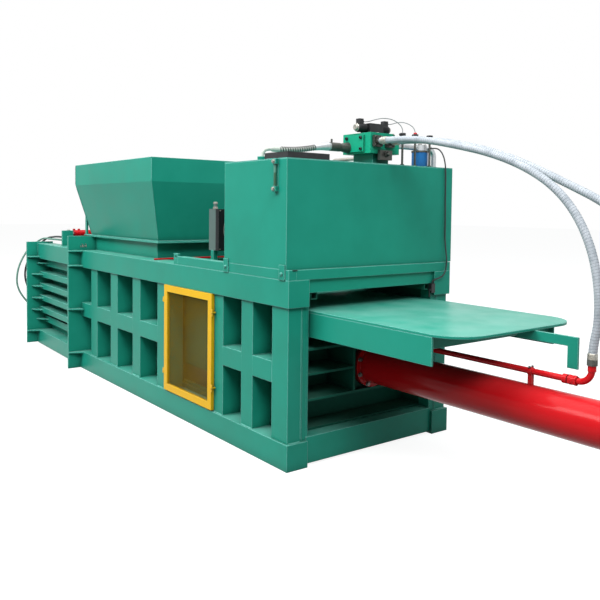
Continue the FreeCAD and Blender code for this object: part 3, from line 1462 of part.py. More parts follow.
def make_squeeze(which):
    """Barrel pinned to the near panel, rod pinned to the far one."""
    depth, height = SQUEEZES[which]
    x, near_y = swung_place(NEAR, depth)
    far_y = swung_place(FAR, depth)[1]
    start = f"({near_y}) + squeeze_base"
    tube_length = "squeeze_run" if which == "top" else "(squeeze_run - 2 * (low_squeeze_inset - squeeze_inset))"
    shell = round_bar("y", (x, start, height), "squeeze_radius", tube_length)
    bore = round_bar("y", (x, f"{start} + 30", height), "squeeze_bore", f"{tube_length} - 60")
    mouth = round_bar("y", (x, f"{start} + {tube_length} - 31", height), "squeeze_rod + running_gap", "32")
    neck = round_bar("y", (x, near_y, height), "eye_height * 0.48", f"squeeze_base + 1")
    eye = round_bar("z", (x, near_y, f"{height} - eye_height / 2"), "eye_radius", "eye_height")
    near_pin = round_bar("z", (x, near_y, f"{height} - eye_height / 2 - ear_gap - ear_thick"),
                         "squeeze_pin - running_gap", "eye_height + 2 * ear_gap + 2 * ear_thick")
    node(f"{which}_squeeze_barrel", fuse([cut(shell, [bore, mouth]), neck, eye, near_pin]))
    piston_y = f"{start} + {tube_length} / 2 - 20"
    piston = round_bar("y", (x, piston_y, height), "squeeze_bore - running_gap", "40")
    rod = round_bar("y", (x, piston_y, height), "squeeze_rod", f"({far_y}) - ({piston_y})")
    far_eye = round_bar("z", (x, far_y, f"{height} - eye_height / 2"), "eye_radius", "eye_height")
    far_pin = round_bar("z", (x, far_y, f"{height} - eye_height / 2 - ear_gap - ear_thick"),
                        "squeeze_pin - squeeze_pin_gap", "eye_height + 2 * ear_gap + 2 * ear_thick")
    node(f"{which}_squeeze_rod", fuse([piston, rod, far_eye, far_pin]))


make_outlet_fixed()
for panel_side in SIDES:
    make_panel(panel_side)
for squeeze_name in SQUEEZES:
    make_squeeze(squeeze_name)


# ---------------------------------------------------------------- hoses

def rounded_route(points, radius, name):
    """A hose along straight runs joined by arcs as large as the runs allow."""
    bends = []
    for i in range(1, len(points) - 1):
        before, after = points[i - 1] - points[i], points[i + 1] - points[i]
        turn = math.pi - before.getAngle(after)
        bends.append(0.45 * min(before.Length, after.Length) / math.tan(turn / 2))
    shape = bent_pipe(points, radius, bends)
    length = shape.Volume / (math.pi * radius ** 2)
    print(f"{name}: length {length:.0f}, tightest radius {min(bends):.0f}, {min(bends) / radius / 2:.1f} diameters")
    return shape


# each route runs from fitting to fitting: (back, inset, height)
ROUTES = {
    "main_hose": ("hose_radius", [
        (48, 805, 2118), (-130, 805, 2118), (-380, 798, 2092), (-640, 792, 2040), (-890, 785, 1980),
        (-1120, 778, 1895), (-1310, 770, 1785), (-1450, 764, 1640), (-1545, 757, 1460), (-1592, 750, 1270),
        (-1600, 746, 1090), (-1572, 745, 965), (-1572, 745, 872)]),
    "rear_hose": ("hose_radius", [
        (48, 922, 2118), (-130, 922, 2118), (-370, 930, 2096), (-610, 936, 2050), (-850, 938, 1985),
        (-1080, 936, 1895), (-1300, 930, 1795), (-1500, 915, 1705), (-1680, 885, 1590), (-1810, 845, 1440),
        (-1872, 800, 1270), (-1868, 765, 1100), (-1800, 748, 950), (-1765, 745, 830), (-1765, 745, 722)]),
    "guard_hose": ("guard_hose_radius", [
        (313, 572, 2080), (313, 522, 2080), (314, 452, 2076), (318, 362, 2064), (326, 282, 2058), (339, 216, 2057),
        (358, 158, 2057), (380, 104, 2057), (390, 79, 2042), (395, 64, 2016), (395, 64, 1987)]),
    "switch_cable": ("cable_radius", [
        (142, 1413, 2107), (104, 1413, 2107), (66, 1418, 2098), (36, 1428, 2060), (18, 1436, 1995), (14, 1440, 1890),
        (16, 1441, 1745), (14, 1443, 1595), (15, 1444, 1455), (4, 1442, 1365), (-13, 1437, 1290), (-20, 1426, 1222),
        (-24, 1394, 1170), (-19, 1342, 1150), (5, 1306, 1138), (5, 1306, 1112)]),
}
# on the near panel, which carries them as it swings: as above, with the panel in line with the body
PANEL_ROUTES = {
    "outer_outlet_hose": ("outlet_hose_radius", [
        (4439, 106, 1262), (4565, 106, 1262), (4700, 107, 1260), (4850, 109, 1257), (5000, 106, 1256), (5140, 102, 1258),
        (5250, 88, 1244), (5305, 38, 1196), (5318, -38, 1132), (5312, -106, 1038), (5306, -158, 930),
        (5302, -186, 820), (5300, -190, 710), (5300, -158, 605), (5298, -90, 505), (5288, -10, 405),
        (5262, 75, 305), (5218, 150, 215), (5140, 212, 145), (5030, 245, 105), (4900, 256, 98), (4770, 260, 100),
        (4660, 262, 100), (4580, 262, 100)]),
    "inner_outlet_hose": ("outlet_hose_radius", [
        (4439, 106, 1296), (4560, 106, 1296), (4690, 111, 1293), (4825, 122, 1287), (4970, 134, 1276), (5100, 134, 1268),
        (5195, 114, 1238), (5240, 62, 1178), (5252, -6, 1100), (5254, -64, 1006), (5256, -100, 900),
        (5256, -108, 790), (5254, -84, 684), (5250, -30, 590), (5244, 46, 500), (5230, 122, 410),
        (5204, 178, 322), (5176, 205, 238), (5118, 228, 168), (5030, 240, 140), (4900, 246, 138),
        (4740, 243, 146), (4580, 243, 146)]),
}


def route_ends():
    """Where each route starts and ends, from the fittings' own sizes: (back, inset, height)."""
    port_back = size("block_front") - size("hose_flange_thick") - size("hose_neck")
    block_side, middle = size("block_inset"), size("body_width") / 2
    barrel_end = -size("pipe_out") - size("pipe_bend_end")
    manifold = size("body_length") + size("flange_thick") + size("squeeze_back")
    web_back = manifold - size("eye_radius") - size("ear_offset")
    top_inset, low_inset = size("squeeze_inset") - 64, size("low_squeeze_inset")
    hose, top, low = size("hose_height"), size("squeeze_height"), size("low_squeeze_height")
    return {
        "main_hose": ((port_back, block_side + size("main_port"), hose), (barrel_end, middle, size("pipe_end_height"))),
        "rear_hose": ((port_back, block_side + size("rear_port"), hose),
                      (-size("rear_port_out"), middle, size("boss_top"))),
        "guard_hose": ((size("block_front") + size("block_run") - size("guard_port"), block_side - size("cheek_thick")
                        - size("adapter_run") - size("sleeve_run"), size("guard_hose_height")),
                       (size("gland_back"), size("gland_inset"), size("tank_top_height") + size("gland_height"))),
        "switch_cable": ((size("filter_back") - size("cable_boss_run"), size("filter_inset") + size("cable_boss_reach"),
                          size("tank_top_height") + size("filter_height") + size("filter_head_height") / 2),
                         (5, size("limit_inset") + size("limit_width") / 2, size("limit_low") + size("limit_height"))),
        "outer_outlet_hose": ((web_back, top_inset, top - 69), (manifold + 105, low_inset, low)),
        "inner_outlet_hose": ((web_back, top_inset, top - 35),
                              (manifold + 105, low_inset - 19, low + 46)),
    }


def fitted(stops, ends):
    """The route's points, drawn along with its two fittings where these have moved."""
    points = [vector(*stop) for stop in stops]
    start, end = (vector(*end) - points[place] for end, place in zip(ends, (0, -1)))
    last = len(points) - 1
    moved = []
    for i, point in enumerate(points):
        share = min(max((i - 1) / (last - 2), 0), 1)
        moved.append(point + start * (1 - share) + end * share)
    return moved


def make_hoses():
    ends = route_ends()
    for routes, carried in ((ROUTES, False), (PANEL_ROUTES, True)):
        for name, (radius, stops) in routes.items():
            hose = plain(rounded_route(fitted(stops, ends[name]), size(radius), name))
            node(name, swing(hose, NEAR) if carried else hose)


make_hoses()


# ---------------------------------------------------------------- check and write

doc.recompute()
for thing in doc.Objects:
    if {"Invalid", "Error"} & set(thing.State):
        raise RuntimeError(f"{thing.Label} ({thing.Name}) failed: {thing.State}")
for name, thing in nodes.items():
    if thing.Shape.isNull() or not thing.Shape.isValid() or not thing.Shape.Solids:
        raise RuntimeError(f"{name} has no valid solid")
os.makedirs("parts", exist_ok=True)
for name, thing in nodes.items():
    thing.Shape.exportStep(f"parts/{name}.step")
print(f"{len(nodes)} sub-parts written")
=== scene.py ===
import json
from bisect import bisect_left
from math import cos, pi, radians, sin, sqrt

import bmesh
import bpy
from mathutils import Matrix, Vector


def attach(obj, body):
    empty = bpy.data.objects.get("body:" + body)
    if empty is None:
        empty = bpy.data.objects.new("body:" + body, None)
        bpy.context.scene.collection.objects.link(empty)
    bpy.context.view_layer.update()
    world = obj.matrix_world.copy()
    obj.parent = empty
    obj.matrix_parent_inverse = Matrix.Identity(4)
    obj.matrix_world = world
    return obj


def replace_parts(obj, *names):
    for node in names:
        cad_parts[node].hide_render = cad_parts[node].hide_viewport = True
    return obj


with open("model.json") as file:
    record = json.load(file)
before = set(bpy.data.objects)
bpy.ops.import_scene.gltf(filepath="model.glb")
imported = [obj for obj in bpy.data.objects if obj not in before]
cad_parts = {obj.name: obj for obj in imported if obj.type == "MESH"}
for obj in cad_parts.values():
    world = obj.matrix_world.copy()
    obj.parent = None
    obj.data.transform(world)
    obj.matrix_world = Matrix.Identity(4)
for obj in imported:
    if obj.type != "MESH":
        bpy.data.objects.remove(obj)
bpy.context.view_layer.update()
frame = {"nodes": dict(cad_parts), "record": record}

# Horizontal hydraulic baler. +X is the end where the main cylinder stands out, -Y the side with the guard
# door, +Z is up. Lengths in the calls are millimetres; Blender's own units are metres.

scene = bpy.context.scene
scene.view_settings.view_transform = "Standard"
MM = 0.001
TURN = 2 * pi

# ------ places that several pieces share

BODY_LENGTH, BODY_WIDTH = 3565, 1490
MIDDLE = BODY_WIDTH / 2
SILL_TOP, RAIL_FOOT = 170, 1028
# where each side rib starts and how long it runs; the far side has one more, opposite the door
RIBS = [(417, 138), (795, 135), (1682, 155), (2172, 155), (2662, 155), (3152, 155)]
FAR_RIB = (1228, 155)
BARREL_HEIGHT, BARREL_RADIUS = 583, 119
TANK_TOP = 1961

UP, NEAR_END = Vector((0, 0, 1)), Vector((1, 0, 0))
NEAR_OUT, FAR_OUT = Vector((0, -1, 0)), Vector((0, 1, 0))


def spot(back, inset, height):
    """A point given as back from the near end, in from the near side and above the ground."""
    return Vector(((BODY_LENGTH / 2 - back) * MM, (inset - MIDDLE) * MM, height * MM))


def places(backs, insets, heights):
    """Every point that these ways back, in and up make together."""
    return [spot(back, inset, height) for back in backs for inset in insets for height in heights]


# The outlet's panels stand a little open at rest, turned about their hinge pins.
PANEL_PIN = spot(3625, 90, 0)
PANEL_TURN = Matrix.Rotation(radians(-1.6), 3, "Z")


def on_panel(point):
    """A point drawn with the near panel in line with the body, moved to the panel's place at rest."""
    return PANEL_PIN + PANEL_TURN @ (point - PANEL_PIN)


def around(count, first=0.0):
    """Cosine and sine of evenly spaced angles round a circle, from a first one in degrees."""
    angles = [radians(first + 360 / count * i) for i in range(count)]
    return [(cos(angle), sin(angle)) for angle in angles]


# ------ camera

CAMERA_PLACE = (5.2495, -3.313, 1.644)
CAMERA_ANGLES = (37.41, 2.53, 0.67)
LENS, SENSOR, SHIFT = 42.23, 36, -0.0998


def stand_camera():
    """The photograph's own viewpoint, by yaw, pitch and roll."""
    yaw, pitch, roll = (radians(angle) for angle in CAMERA_ANGLES)
    ahead = Vector((-cos(pitch) * cos(yaw), cos(pitch) * sin(yaw), -sin(pitch)))
    right = Vector((sin(yaw), cos(yaw), 0))
    up = right.cross(ahead)
    across = right * cos(roll) + up * sin(roll)
    upright = up * cos(roll) - right * sin(roll)
    data = bpy.data.cameras.new("camera")
    data.lens, data.sensor_width, data.shift_y = LENS, SENSOR, SHIFT
    data.sensor_fit = "HORIZONTAL"
    data.clip_end = 200
    camera = bpy.data.objects.new("camera", data)
    stance = Matrix((across, upright, -ahead)).transposed().to_4x4()
    camera.matrix_world = Matrix.Translation(CAMERA_PLACE) @ stance
    scene.collection.objects.link(camera)
    scene.camera = camera


stand_camera()

# ------ materials

# a mix node has several inputs of one name, so those for colours are taken by number
FACTOR, FIRST, SECOND, MIXED = 0, 6, 7, 2


def linear(colour):
    """An sRGB hex colour as linear red, green, blue and alpha."""
    parts = [int(colour[i:i + 2], 16) / 255 for i in (1, 3, 5)]
    return [p / 12.92 if p <= 0.04045 else ((p + 0.055) / 1.055) ** 2.4 for p in parts] + [1.0]


def feed(tree, node, inputs):
    """Fills a node's inputs with values, hex colours or other nodes' outputs."""
    for name, value in inputs.items():
        if isinstance(value, bpy.types.NodeSocket):
            tree.links.new(value, node.inputs[name])
        else:
            node.inputs[name].default_value = linear(value) if isinstance(value, str) else value


def add(tree, kind, inputs=None, out=0, **settings):
    """Adds one node with its inputs and its own settings, and gives back one of its outputs."""
    made = tree.nodes.new("ShaderNode" + kind)
    for name, value in settings.items():
        setattr(made, name, value)
    feed(tree, made, inputs or {})
    return made.outputs[out]


def surface(name, **inputs):
    """A material, its tree, its shader with these inputs, and the object's own coordinates."""
    material = bpy.data.materials.new(name)
    material.use_nodes = True
    tree = material.node_tree
    shader = tree.nodes["Principled BSDF"]
    feed(tree, shader, {socket.replace("_", " "): value for socket, value in inputs.items()})
    return material, tree, shader, add(tree, "TexCoord", out="Object")


def layered(tree, tint, *coats):
    """A base colour with coats over it, each given as how much of it shows and its colour."""
    for share, coat in coats:
        tint = add(tree, "Mix", {FACTOR: share, FIRST: tint, SECOND: coat}, MIXED, data_type="RGBA")
    return tint


def speckle(tree, place, size, detail=3.0, spread=(0.35, 0.65), to=(0.0, 1.0)):
    """Cloudy noise in patches about this many millimetres across, its range drawn out to two values."""
    noise = add(tree, "TexNoise", {"Vector": place, "Scale": 1 / (size * MM), "Detail": detail}, "Fac")
    return add(tree, "MapRange", {"Value": noise, "From Min": spread[0], "From Max": spread[1],
                                  "To Min": to[0], "To Max": to[1]})


def machine_enamel(name, colour, shade, light, dust_and_sheen_colour="#a9bdb4", dust_and_sheen_amount=0.12, edge=3.0, gloss=0.36,
                   shine=0.14, edge_wear_and_highlight=0.45, edge_wear_and_highlight_colour=None):
    """Satin enamel sprayed over plate: edges paler with wear and a painted highlight, corners darker with
    painted shade, and faces that lie flat paler with dust and a painted sheen.
    """
    material, tree, shader, place = surface(name, Specular_IOR_Level=shine)
    overlap = speckle(tree, place, 700, 1.0, (0.25, 0.75), (0, 0.8))
    mottle = speckle(tree, place, 160, 2.0, (0.2, 0.8))
    light_share = add(tree, "Math", {0: mottle, 1: 0.25}, operation="MULTIPLY")
    # flat faces paler: settled dust, and a painted sheen of the light from above
    dust_and_sheen_patches = speckle(tree, place, 240, 3.0, (0.2, 0.8), (0, dust_and_sheen_amount))
    upward = add(tree, "SeparateXYZ", {"Vector": add(tree, "TexCoord", out="Normal")}, "Z")
    lying = add(tree, "MapRange", {"Value": upward, "From Min": 0.3, "From Max": 0.95})
    dust_and_sheen = add(tree, "Math", {0: lying, 1: dust_and_sheen_patches}, operation="MULTIPLY")
    rounded = add(tree, "Bevel", {"Radius": edge * MM}, samples=4)
    flat = add(tree, "NewGeometry", out="True Normal")
    bend = add(tree, "VectorMath", {0: rounded, 1: flat}, "Value", operation="DOT_PRODUCT")
    # edges paler: wear, and a painted highlight where light catches the rounding
    worn_and_highlit_edges = add(tree, "MapRange", {"Value": bend, "From Min": 0.995, "From Max": 0.8, "To Max": edge_wear_and_highlight})
    # painted shade: darker where nearby parts close in, in corners, gaps and recesses
    openness = add(tree, "AmbientOcclusion", {"Distance": 90 * MM}, "AO", samples=3)
    corner = add(tree, "MapRange", {"Value": openness, "From Min": 0.75, "From Max": 0.15, "To Max": 0.75})
    peel = speckle(tree, place, 12, 1.0, (0, 1))
    feed(tree, shader, {
        "Base Color": layered(tree, colour, (overlap, shade), (light_share, light), (dust_and_sheen, dust_and_sheen_colour),
                              (worn_and_highlit_edges, edge_wear_and_highlight_colour or dust_and_sheen_colour), (corner, "#0b1512")),
        "Roughness": add(tree, "Math", {0: mottle, 1: 0.1, 2: gloss - 0.05}, operation="MULTIPLY_ADD"),
        "Normal": add(tree, "Bump", {"Height": peel, "Distance": 0.08 * MM, "Normal": rounded})})
    return material


# Green: a blue-leaning mid green that goes pale where light skims it.
GREEN = machine_enamel("green_machine_enamel", "#1e917c", "#1a8571", "#2ba48f", dust_and_sheen_colour="#a4cfc8",
                       dust_and_sheen_amount=0.36, edge=7.0, edge_wear_and_highlight=0.85, edge_wear_and_highlight_colour="#93ddd3")
# Inner plates and the underside got one thin coat that dried dull and darkened with dust, in a darker green
# that also paints the shade of the recesses and of the bay under the tongue.
DULL_SHADED_GREEN = machine_enamel("dull_green_undercoat_with_painted_shade", "#17604f", "#124d40", "#1f7460", dust_and_sheen_colour="#5f6f68",
                            dust_and_sheen_amount=0.3, gloss=0.55, shine=0.08, edge_wear_and_highlight=0.3)
# Red on the cylinders: full gloss, cleaner than the frame because it is wiped for the seals.
RED = machine_enamel("red_cylinder_enamel", "#c9141b", "#b80e15", "#d3242a", dust_and_sheen_colour="#e8a0a4",
                     dust_and_sheen_amount=0.05, gloss=0.16, shine=0.1, edge_wear_and_highlight=0.2)
# Yellow: guard colour on the door and its latches.
YELLOW = machine_enamel("yellow_guard_enamel", "#edbb12", "#e0aa08", "#f5c935", dust_and_sheen_colour="#cfc59a",
                        dust_and_sheen_amount=0.08)
# The door's mesh was dipped before it was framed, and its thin film has dulled; its darker yellow also paints
# the shade on the thin strands.
SHADED_MESH_YELLOW = machine_enamel("dulled_yellow_mesh_with_painted_shade", "#b08a1c", "#957414", "#c9a535", dust_and_sheen_colour="#8f8a5c",
                             dust_and_sheen_amount=0.2, edge=0.5, gloss=0.5, shine=0.08, edge_wear_and_highlight=0.0)
# The valve block comes painted by its own maker, a brighter green.
VALVE_GREEN = machine_enamel("valve_green_enamel", "#129f7c", "#0e8c6c", "#27b391", dust_and_sheen_amount=0.05,
                             edge=1.5)
BLUE = machine_enamel("blue_filter_enamel", "#2a74b8", "#205f9c", "#4489cc", dust_and_sheen_amount=0.06, edge=1.5)
GREY = machine_enamel("grey_motor_enamel", "#6f777b", "#5f676b", "#868e91", edge=1.5)
BLACK = machine_enamel("black_shroud_enamel", "#1b1d20", "#141618", "#2a2d30", dust_and_sheen_amount=0.1, edge=1.5)
# The cooler's core and tanks: a thin grey coat that has picked up some of the green spray.
COOLER_GREY = machine_enamel("grey_cooler_coat", "#5f7370", "#51635f", "#788a87", edge=1.5)


def hard_chrome():
    """Hard chrome on ground bar: mirror bright, with the faint rings of grinding."""
    material, tree, shader, place = surface("hard_chrome", Base_Color="#d7dbdd", Metallic=1.0)
    squeezed = add(tree, "Mapping", {"Vector": place, "Scale": (12, 1, 1)})
    feed(tree, shader, {"Roughness": speckle(tree, squeezed, 60, 2.0, to=(0.08, 0.2))})
    return material


def marked(tree, shader, marks, colour, tint, amount, dulling, roughness, grain, depth):
    """Marks that change a surface's colour and shine, over a fine grain this many millimetres deep."""
    tinted = add(tree, "Math", {0: marks, 1: amount}, operation="MULTIPLY")
    feed(tree, shader, {
        "Base Color": layered(tree, colour, (tinted, tint)),
        "Roughness": add(tree, "Math", {0: marks, 1: dulling, 2: roughness}, operation="MULTIPLY_ADD"),
        "Normal": add(tree, "Bump", {"Height": grain, "Distance": depth * MM})})


def plated_steel(name, colour, tint, roughness, grain):
    """Bare or zinc plated steel: a broken, slightly yellowed grey shine with handling marks."""
    material, tree, shader, place = surface(name, Metallic=0.9)
    marks, pits = speckle(tree, place, grain, 5.0), speckle(tree, place, grain / 6)
    marked(tree, shader, marks, colour, tint, 0.6, 0.18, roughness - 0.08, pits, 0.06)
    return material


STEEL = plated_steel("zinc_plated_steel", "#a9a8a2", "#8c8577", 0.38, 18)
DARK_STEEL = plated_steel("oiled_black_steel", "#4c4f4d", "#63615a", 0.45, 14)
ALUMINIUM = plated_steel("cast_aluminium", "#c4c8ca", "#a6abae", 0.42, 12)
CAST_IRON = plated_steel("cast_iron_pump", "#6b6e70", "#55504a", 0.6, 9)


def moulded(name, colour, pale, roughness, grain, depth):
    """Moulded plastic or rubber: matt, with the mould's fine spark grain and a few scuffs."""
    material, tree, shader, place = surface(name, Specular_IOR_Level=0.4)
    scuffs, spark = speckle(tree, place, 45, 6.0, (0.5, 0.75)), speckle(tree, place, grain, 2.0)
    marked(tree, shader, scuffs, colour, pale, 0.5, 0.15, roughness, spark, depth)
    return material


BLACK_PLASTIC = moulded("black_moulded_nylon", "#17191b", "#3a3d40", 0.42, 2.5, 0.12)
RED_PLASTIC = moulded("red_cap_plastic", "#c8222a", "#e0545a", 0.35, 2.5, 0.08)
RUBBER = moulded("black_hose_rubber", "#1d2022", "#45494b", 0.55, 3.0, 0.15)
# The outlet's outer hose caught the green spray.
SPRAYED_RUBBER = moulded("oversprayed_hose_rubber", "#5f8a7c", "#8fb3a6", 0.5, 3.0, 0.15)
PALE_HOSE = moulded("pale_return_hose", "#b9bfb8", "#d6dad4", 0.5, 3.0, 0.12)
GUARD = moulded("spiral_guard_plastic", "#1b1d1f", "#3b3f42", 0.38, 3.0, 0.1)
CABLE_GREY = moulded("grey_cable_sheath", "#8a8f91", "#a8acae", 0.5, 2.0, 0.08)
# The sewn edge of the hoses' nylon band, which holds the dirt of handling.
WRAP_EDGE = moulded("grey_wrap_selvedge", "#6d7680", "#868f97", 0.6, 2.0, 0.08)
FIN_BLACK = moulded("black_fin_paint", "#2b2f31", "#50565a", 0.55, 4.0, 0.1)


def nylon_wrap():
    """White woven nylon band, dull and greyed by handling and oil. Its real threads are under a millimetre,
    so the weave is drawn at 5 mm to show at all."""
    material, tree, shader, place = surface("woven_nylon_wrap", Roughness=0.62, Specular_IOR_Level=0.3)
    thread = 5 * MM
    soil = speckle(tree, place, 85, 6.0, (0.42, 0.7), (0, 0.6))
    smudge = speckle(tree, place, 22, 5.0, (0.5, 0.72), (0, 0.35))
    threads = []
    for lean in (0.7, -0.7):
        laid = add(tree, "Mapping", {"Vector": place, "Rotation": (0, lean, lean)})
        wave = {"Vector": laid, "Scale": 1 / thread / TURN, "Distortion": 0.6}
        threads.append(add(tree, "TexWave", wave, "Fac"))
    weave = add(tree, "Math", {0: threads[0], 1: threads[1]}, operation="MULTIPLY")
    # painted shade: darker in the weave's hollows
    hollow_shade = add(tree, "Math", {0: weave, 1: -0.2, 2: 0.2}, operation="MULTIPLY_ADD")
    feed(tree, shader, {
        "Base Color": layered(tree, "#bcc3ca", (soil, "#8d97a0"), (smudge, "#6a747a"), (hollow_shade, "#7c868c")),
        "Normal": add(tree, "Bump", {"Height": weave, "Distance": 0.2 * MM})})
    return material


def clear_tube():
    """Clear acrylic gauge tube with oil behind it, misted over by the tank's green spray."""
    oil_level = 1.87
    material, tree, shader, place = surface("clear_gauge_acrylic", Roughness=0.2, IOR=1.49,
                                            Transmission_Weight=0.25)
    height = add(tree, "SeparateXYZ", {"Vector": place}, "Z")
    below = add(tree, "Math", {0: height, 1: oil_level}, operation="LESS_THAN")
    feed(tree, shader, {"Base Color": layered(tree, "#5f9c8a", (below, "#3c6d52"))})
    return material


SLOTS = {
    "green_paint": GREEN, "red_paint": RED, "yellow_paint": YELLOW, "valve_green": VALVE_GREEN,
    "blue_paint": BLUE, "grey_paint": GREY, "black_paint": BLACK, "chrome_rod": hard_chrome(),
    "bare_steel": STEEL, "silver": ALUMINIUM, "cast_grey": CAST_IRON, "black_plastic": BLACK_PLASTIC,
    "clear_tube": clear_tube(), "switch_red": RED_PLASTIC, "hose_wrap": nylon_wrap(), "hose_guard": GUARD,
    "black_rubber": RUBBER,
}
NYLON_WRAP = SLOTS["hose_wrap"]
SLOT_OF = {material.name: slot for slot, material in SLOTS.items()}
for variant, slot in ((SHADED_MESH_YELLOW, "yellow_paint"), (DARK_STEEL, "bare_steel"), (PALE_HOSE, "hose_guard"),
                      (SPRAYED_RUBBER, "black_rubber"), (CABLE_GREY, "black_rubber"), (FIN_BLACK, "silver"),
                      (WRAP_EDGE, "hose_wrap"), (DULL_SHADED_GREEN, "green_paint")):
    SLOT_OF[variant.name] = slot

# inner plates, floor and bay parts take the dull green whose darkness is partly painted shade
own_finish = dict.fromkeys(("side_liners", "floor_plate", "floor_joists", "cross_beams", "cylinder_seat",
                            "ram_box", "outlet_floor", "outlet_roof"), DULL_SHADED_GREEN)
own_finish.update(cooler_core=COOLER_GREY, valve_fittings=DARK_STEEL, ram_runners=DARK_STEEL,
                  level_gauge=GREEN)
slot_of_node = {row["node"]: row["material_slot"] for row in frame["record"]["subparts"]}
for name, shape in frame["nodes"].items():
    shape.data.materials.clear()
    shape.data.materials.append(own_finish.get(name) or SLOTS[slot_of_node[name]])


# ------ making pieces

def place_piece(shape, body, material):
    """Puts an object in the scene with its finish, on the body that carries it."""
    scene.collection.objects.link(shape)
    shape.data.materials.append(material)
    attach(shape, body)


def piece(name, built, material, smooth=None, body="frame"):
    """Makes a built form a piece; smooth is the angle in degrees up to which its faces shade as one."""
    mesh = bpy.data.meshes.new(name)
    bmesh.ops.recalc_face_normals(built, faces=built.faces)
    built.to_mesh(mesh)
    built.free()
    if smooth:
        mesh.shade_smooth()
        mesh.set_sharp_from_angle(angle=radians(smooth))
    shape = bpy.data.objects.new(name, mesh)
    place_piece(shape, body, material)
    return shape


def skin(built, rings, closed=True):
    """Faces from each row of points to the next; a closed row joins its last point to its first."""
    for first, second in zip(rings, rings[1:]):
        for i in range(len(first) if closed else len(first) - 1):
            j = (i + 1) % len(first)
            built.faces.new((first[i], first[j], second[j], second[i]))


def block(built, low, high, round_by):
    """A block between two corners in metres, its edges rounded by this many millimetres."""
    made = bmesh.ops.create_cube(built, size=1)
    middle, size = (low + high) / 2, high - low
    for vert in made["verts"]:
        vert.co = Vector([middle[i] + vert.co[i] * size[i] for i in range(3)])
    edges = {edge for vert in made["verts"] for edge in vert.link_edges}
    reach = min(round_by * MM, min(abs(side) for side in size) * 0.4)
    bmesh.ops.bevel(built, geom=list(edges), offset=reach, segments=2, affect="EDGES", profile=0.5)


def one_block(name, low, high, round_by, material):
    """A piece that is a single block."""
    built = bmesh.new()
    block(built, low, high, round_by)
    piece(name, built, material)


AXES = {name: Matrix.Rotation(radians(angle), 3, about) for name, angle, about in
        (("x", 90, "Y"), ("y", -90, "X"), ("z", 0, "Z"), ("-x", -90, "Y"), ("-y", 90, "X"), ("-z", 180, "X"))}


def lathe(built, foot, axis, outline, sides=24, turn=0.0):
    """A turned or many-sided form: outline is (distance from its foot, radius) in millimetres."""
    along_axis = AXES[axis] if isinstance(axis, str) else axis
    rings = []
    for along, radius in outline:
        ring = []
        for i in range(sides if radius > 0 else 1):
            angle = turn + TURN * i / sides
            local = Vector((cos(angle) * radius, sin(angle) * radius, along)) * MM
            ring.append(built.verts.new(foot + along_axis @ local))
        rings.append(ring)
    for lower, upper in zip(rings, rings[1:]):
        for i in range(max(len(lower), len(upper))):
            corners = []
            for ring, k in ((lower, i), (lower, i + 1), (upper, i + 1), (upper, i)):
                if ring[k % len(ring)] not in corners:
                    corners.append(ring[k % len(ring)])
            if len(corners) > 2:
                built.faces.new(corners)


def turned(name, forms, material, smooth=None, body="frame"):
    """A piece of lathe forms, each given as lathe takes them: foot, axis, outline, sides."""
    built = bmesh.new()
    for form in forms:
        lathe(built, *form)
    return piece(name, built, material, smooth, body)


def bolt_set(name, feet, axis, flats, height, material=STEEL):
    """Bolt heads on their washers, with chamfered corners and a shallow dish on top."""
    corner, washer = flats / sqrt(3), flats * 0.12
    disc = [(0, flats * 0.66), (flats * 0.1, flats * 0.66), (washer, flats * 0.62), (washer, 0)]
    head = [(washer, corner), (washer + height * 0.82, corner), (washer + height, corner * 0.88),
            (washer + height, corner * 0.5), (washer + height * 0.96, 0)]
    forms = [form for foot in feet for form in ((foot, axis, disc, 20), (foot, axis, head, 6, 0.3))]
    return turned(name, forms, material)


def socket_screws(name, feet, axis, size, material):
    """Cap screws with a hexagon socket."""
    head = [(0, size), (size * 0.9, size), (size * 1.1, size * 0.9), (size * 1.1, size * 0.55)]
    socket = [(size * 1.1, size * 0.55), (size * 0.4, size * 0.55), (size * 0.4, 0)]
    forms = [form for foot in feet for form in ((foot, axis, head, 20), (foot, axis, socket, 6))]
    return turned(name, forms, material, smooth=30)


def weld_bead(built, start, stop, out, size=7, step=5):
    """A hand-laid fillet weld: overlapping ripples along a line, leaning out between two faces."""
    run = stop - start
    ripples = 2 * max(2, int(run.length / (step * MM)))
    out = out.normalized()
    side = run.normalized().cross(out).normalized()
    rings = []
    for i in range(ripples + 1):
        share = i / ripples
        tapered = min(1.0, 8 * min(share, 1 - share) + 0.25)
        swell = (0.82 if i % 2 else 1.0) * tapered * size * MM
        rings.append([built.verts.new(start + run * share
                                      + (out * cos(lean) * 0.75 + side * sin(lean)) * swell)
                      for lean in (-1.57, -0.8, 0, 0.8, 1.57)])
    skin(built, rings, closed=False)


def wire_loop(built, centre, axis, radius, wire, sides=32, start=0.0, stop=TURN):
    """A round wire bent into a ring or part of one, round an axis."""
    whole = stop - start > 6.28
    rings = []
    for i in range(sides if whole else sides + 1):
        angle = start + (stop - start) * i / sides
        ring = []
        for out, rise in around(8):
            reach = radius + wire * out
            local = Vector((cos(angle) * reach, sin(angle) * reach, wire * rise)) * MM
            ring.append(built.verts.new(centre + AXES[axis] @ local))
        rings.append(ring)
    skin(built, rings + rings[:1] if whole else rings)


# ------ hoses and cables

def route(name, radius, points, material, body="frame"):
    """A hose along a smooth spline through the same route points as its solid."""
    data = bpy.data.curves.new(name, "CURVE")
    data.dimensions = "3D"
    spline = data.splines.new("NURBS")
    spline.points.add(len(points) - 1)
    for control, point in zip(spline.points, points):
        control.co = (*point, 1)
    spline.order_u = 3
    spline.use_endpoint_u = True
    data.resolution_u = 10
    data.bevel_depth = radius * MM
    data.bevel_resolution = 5
    data.use_fill_caps = True
    hose = bpy.data.objects.new(name, data)
    place_piece(hose, body, material)
    return hose


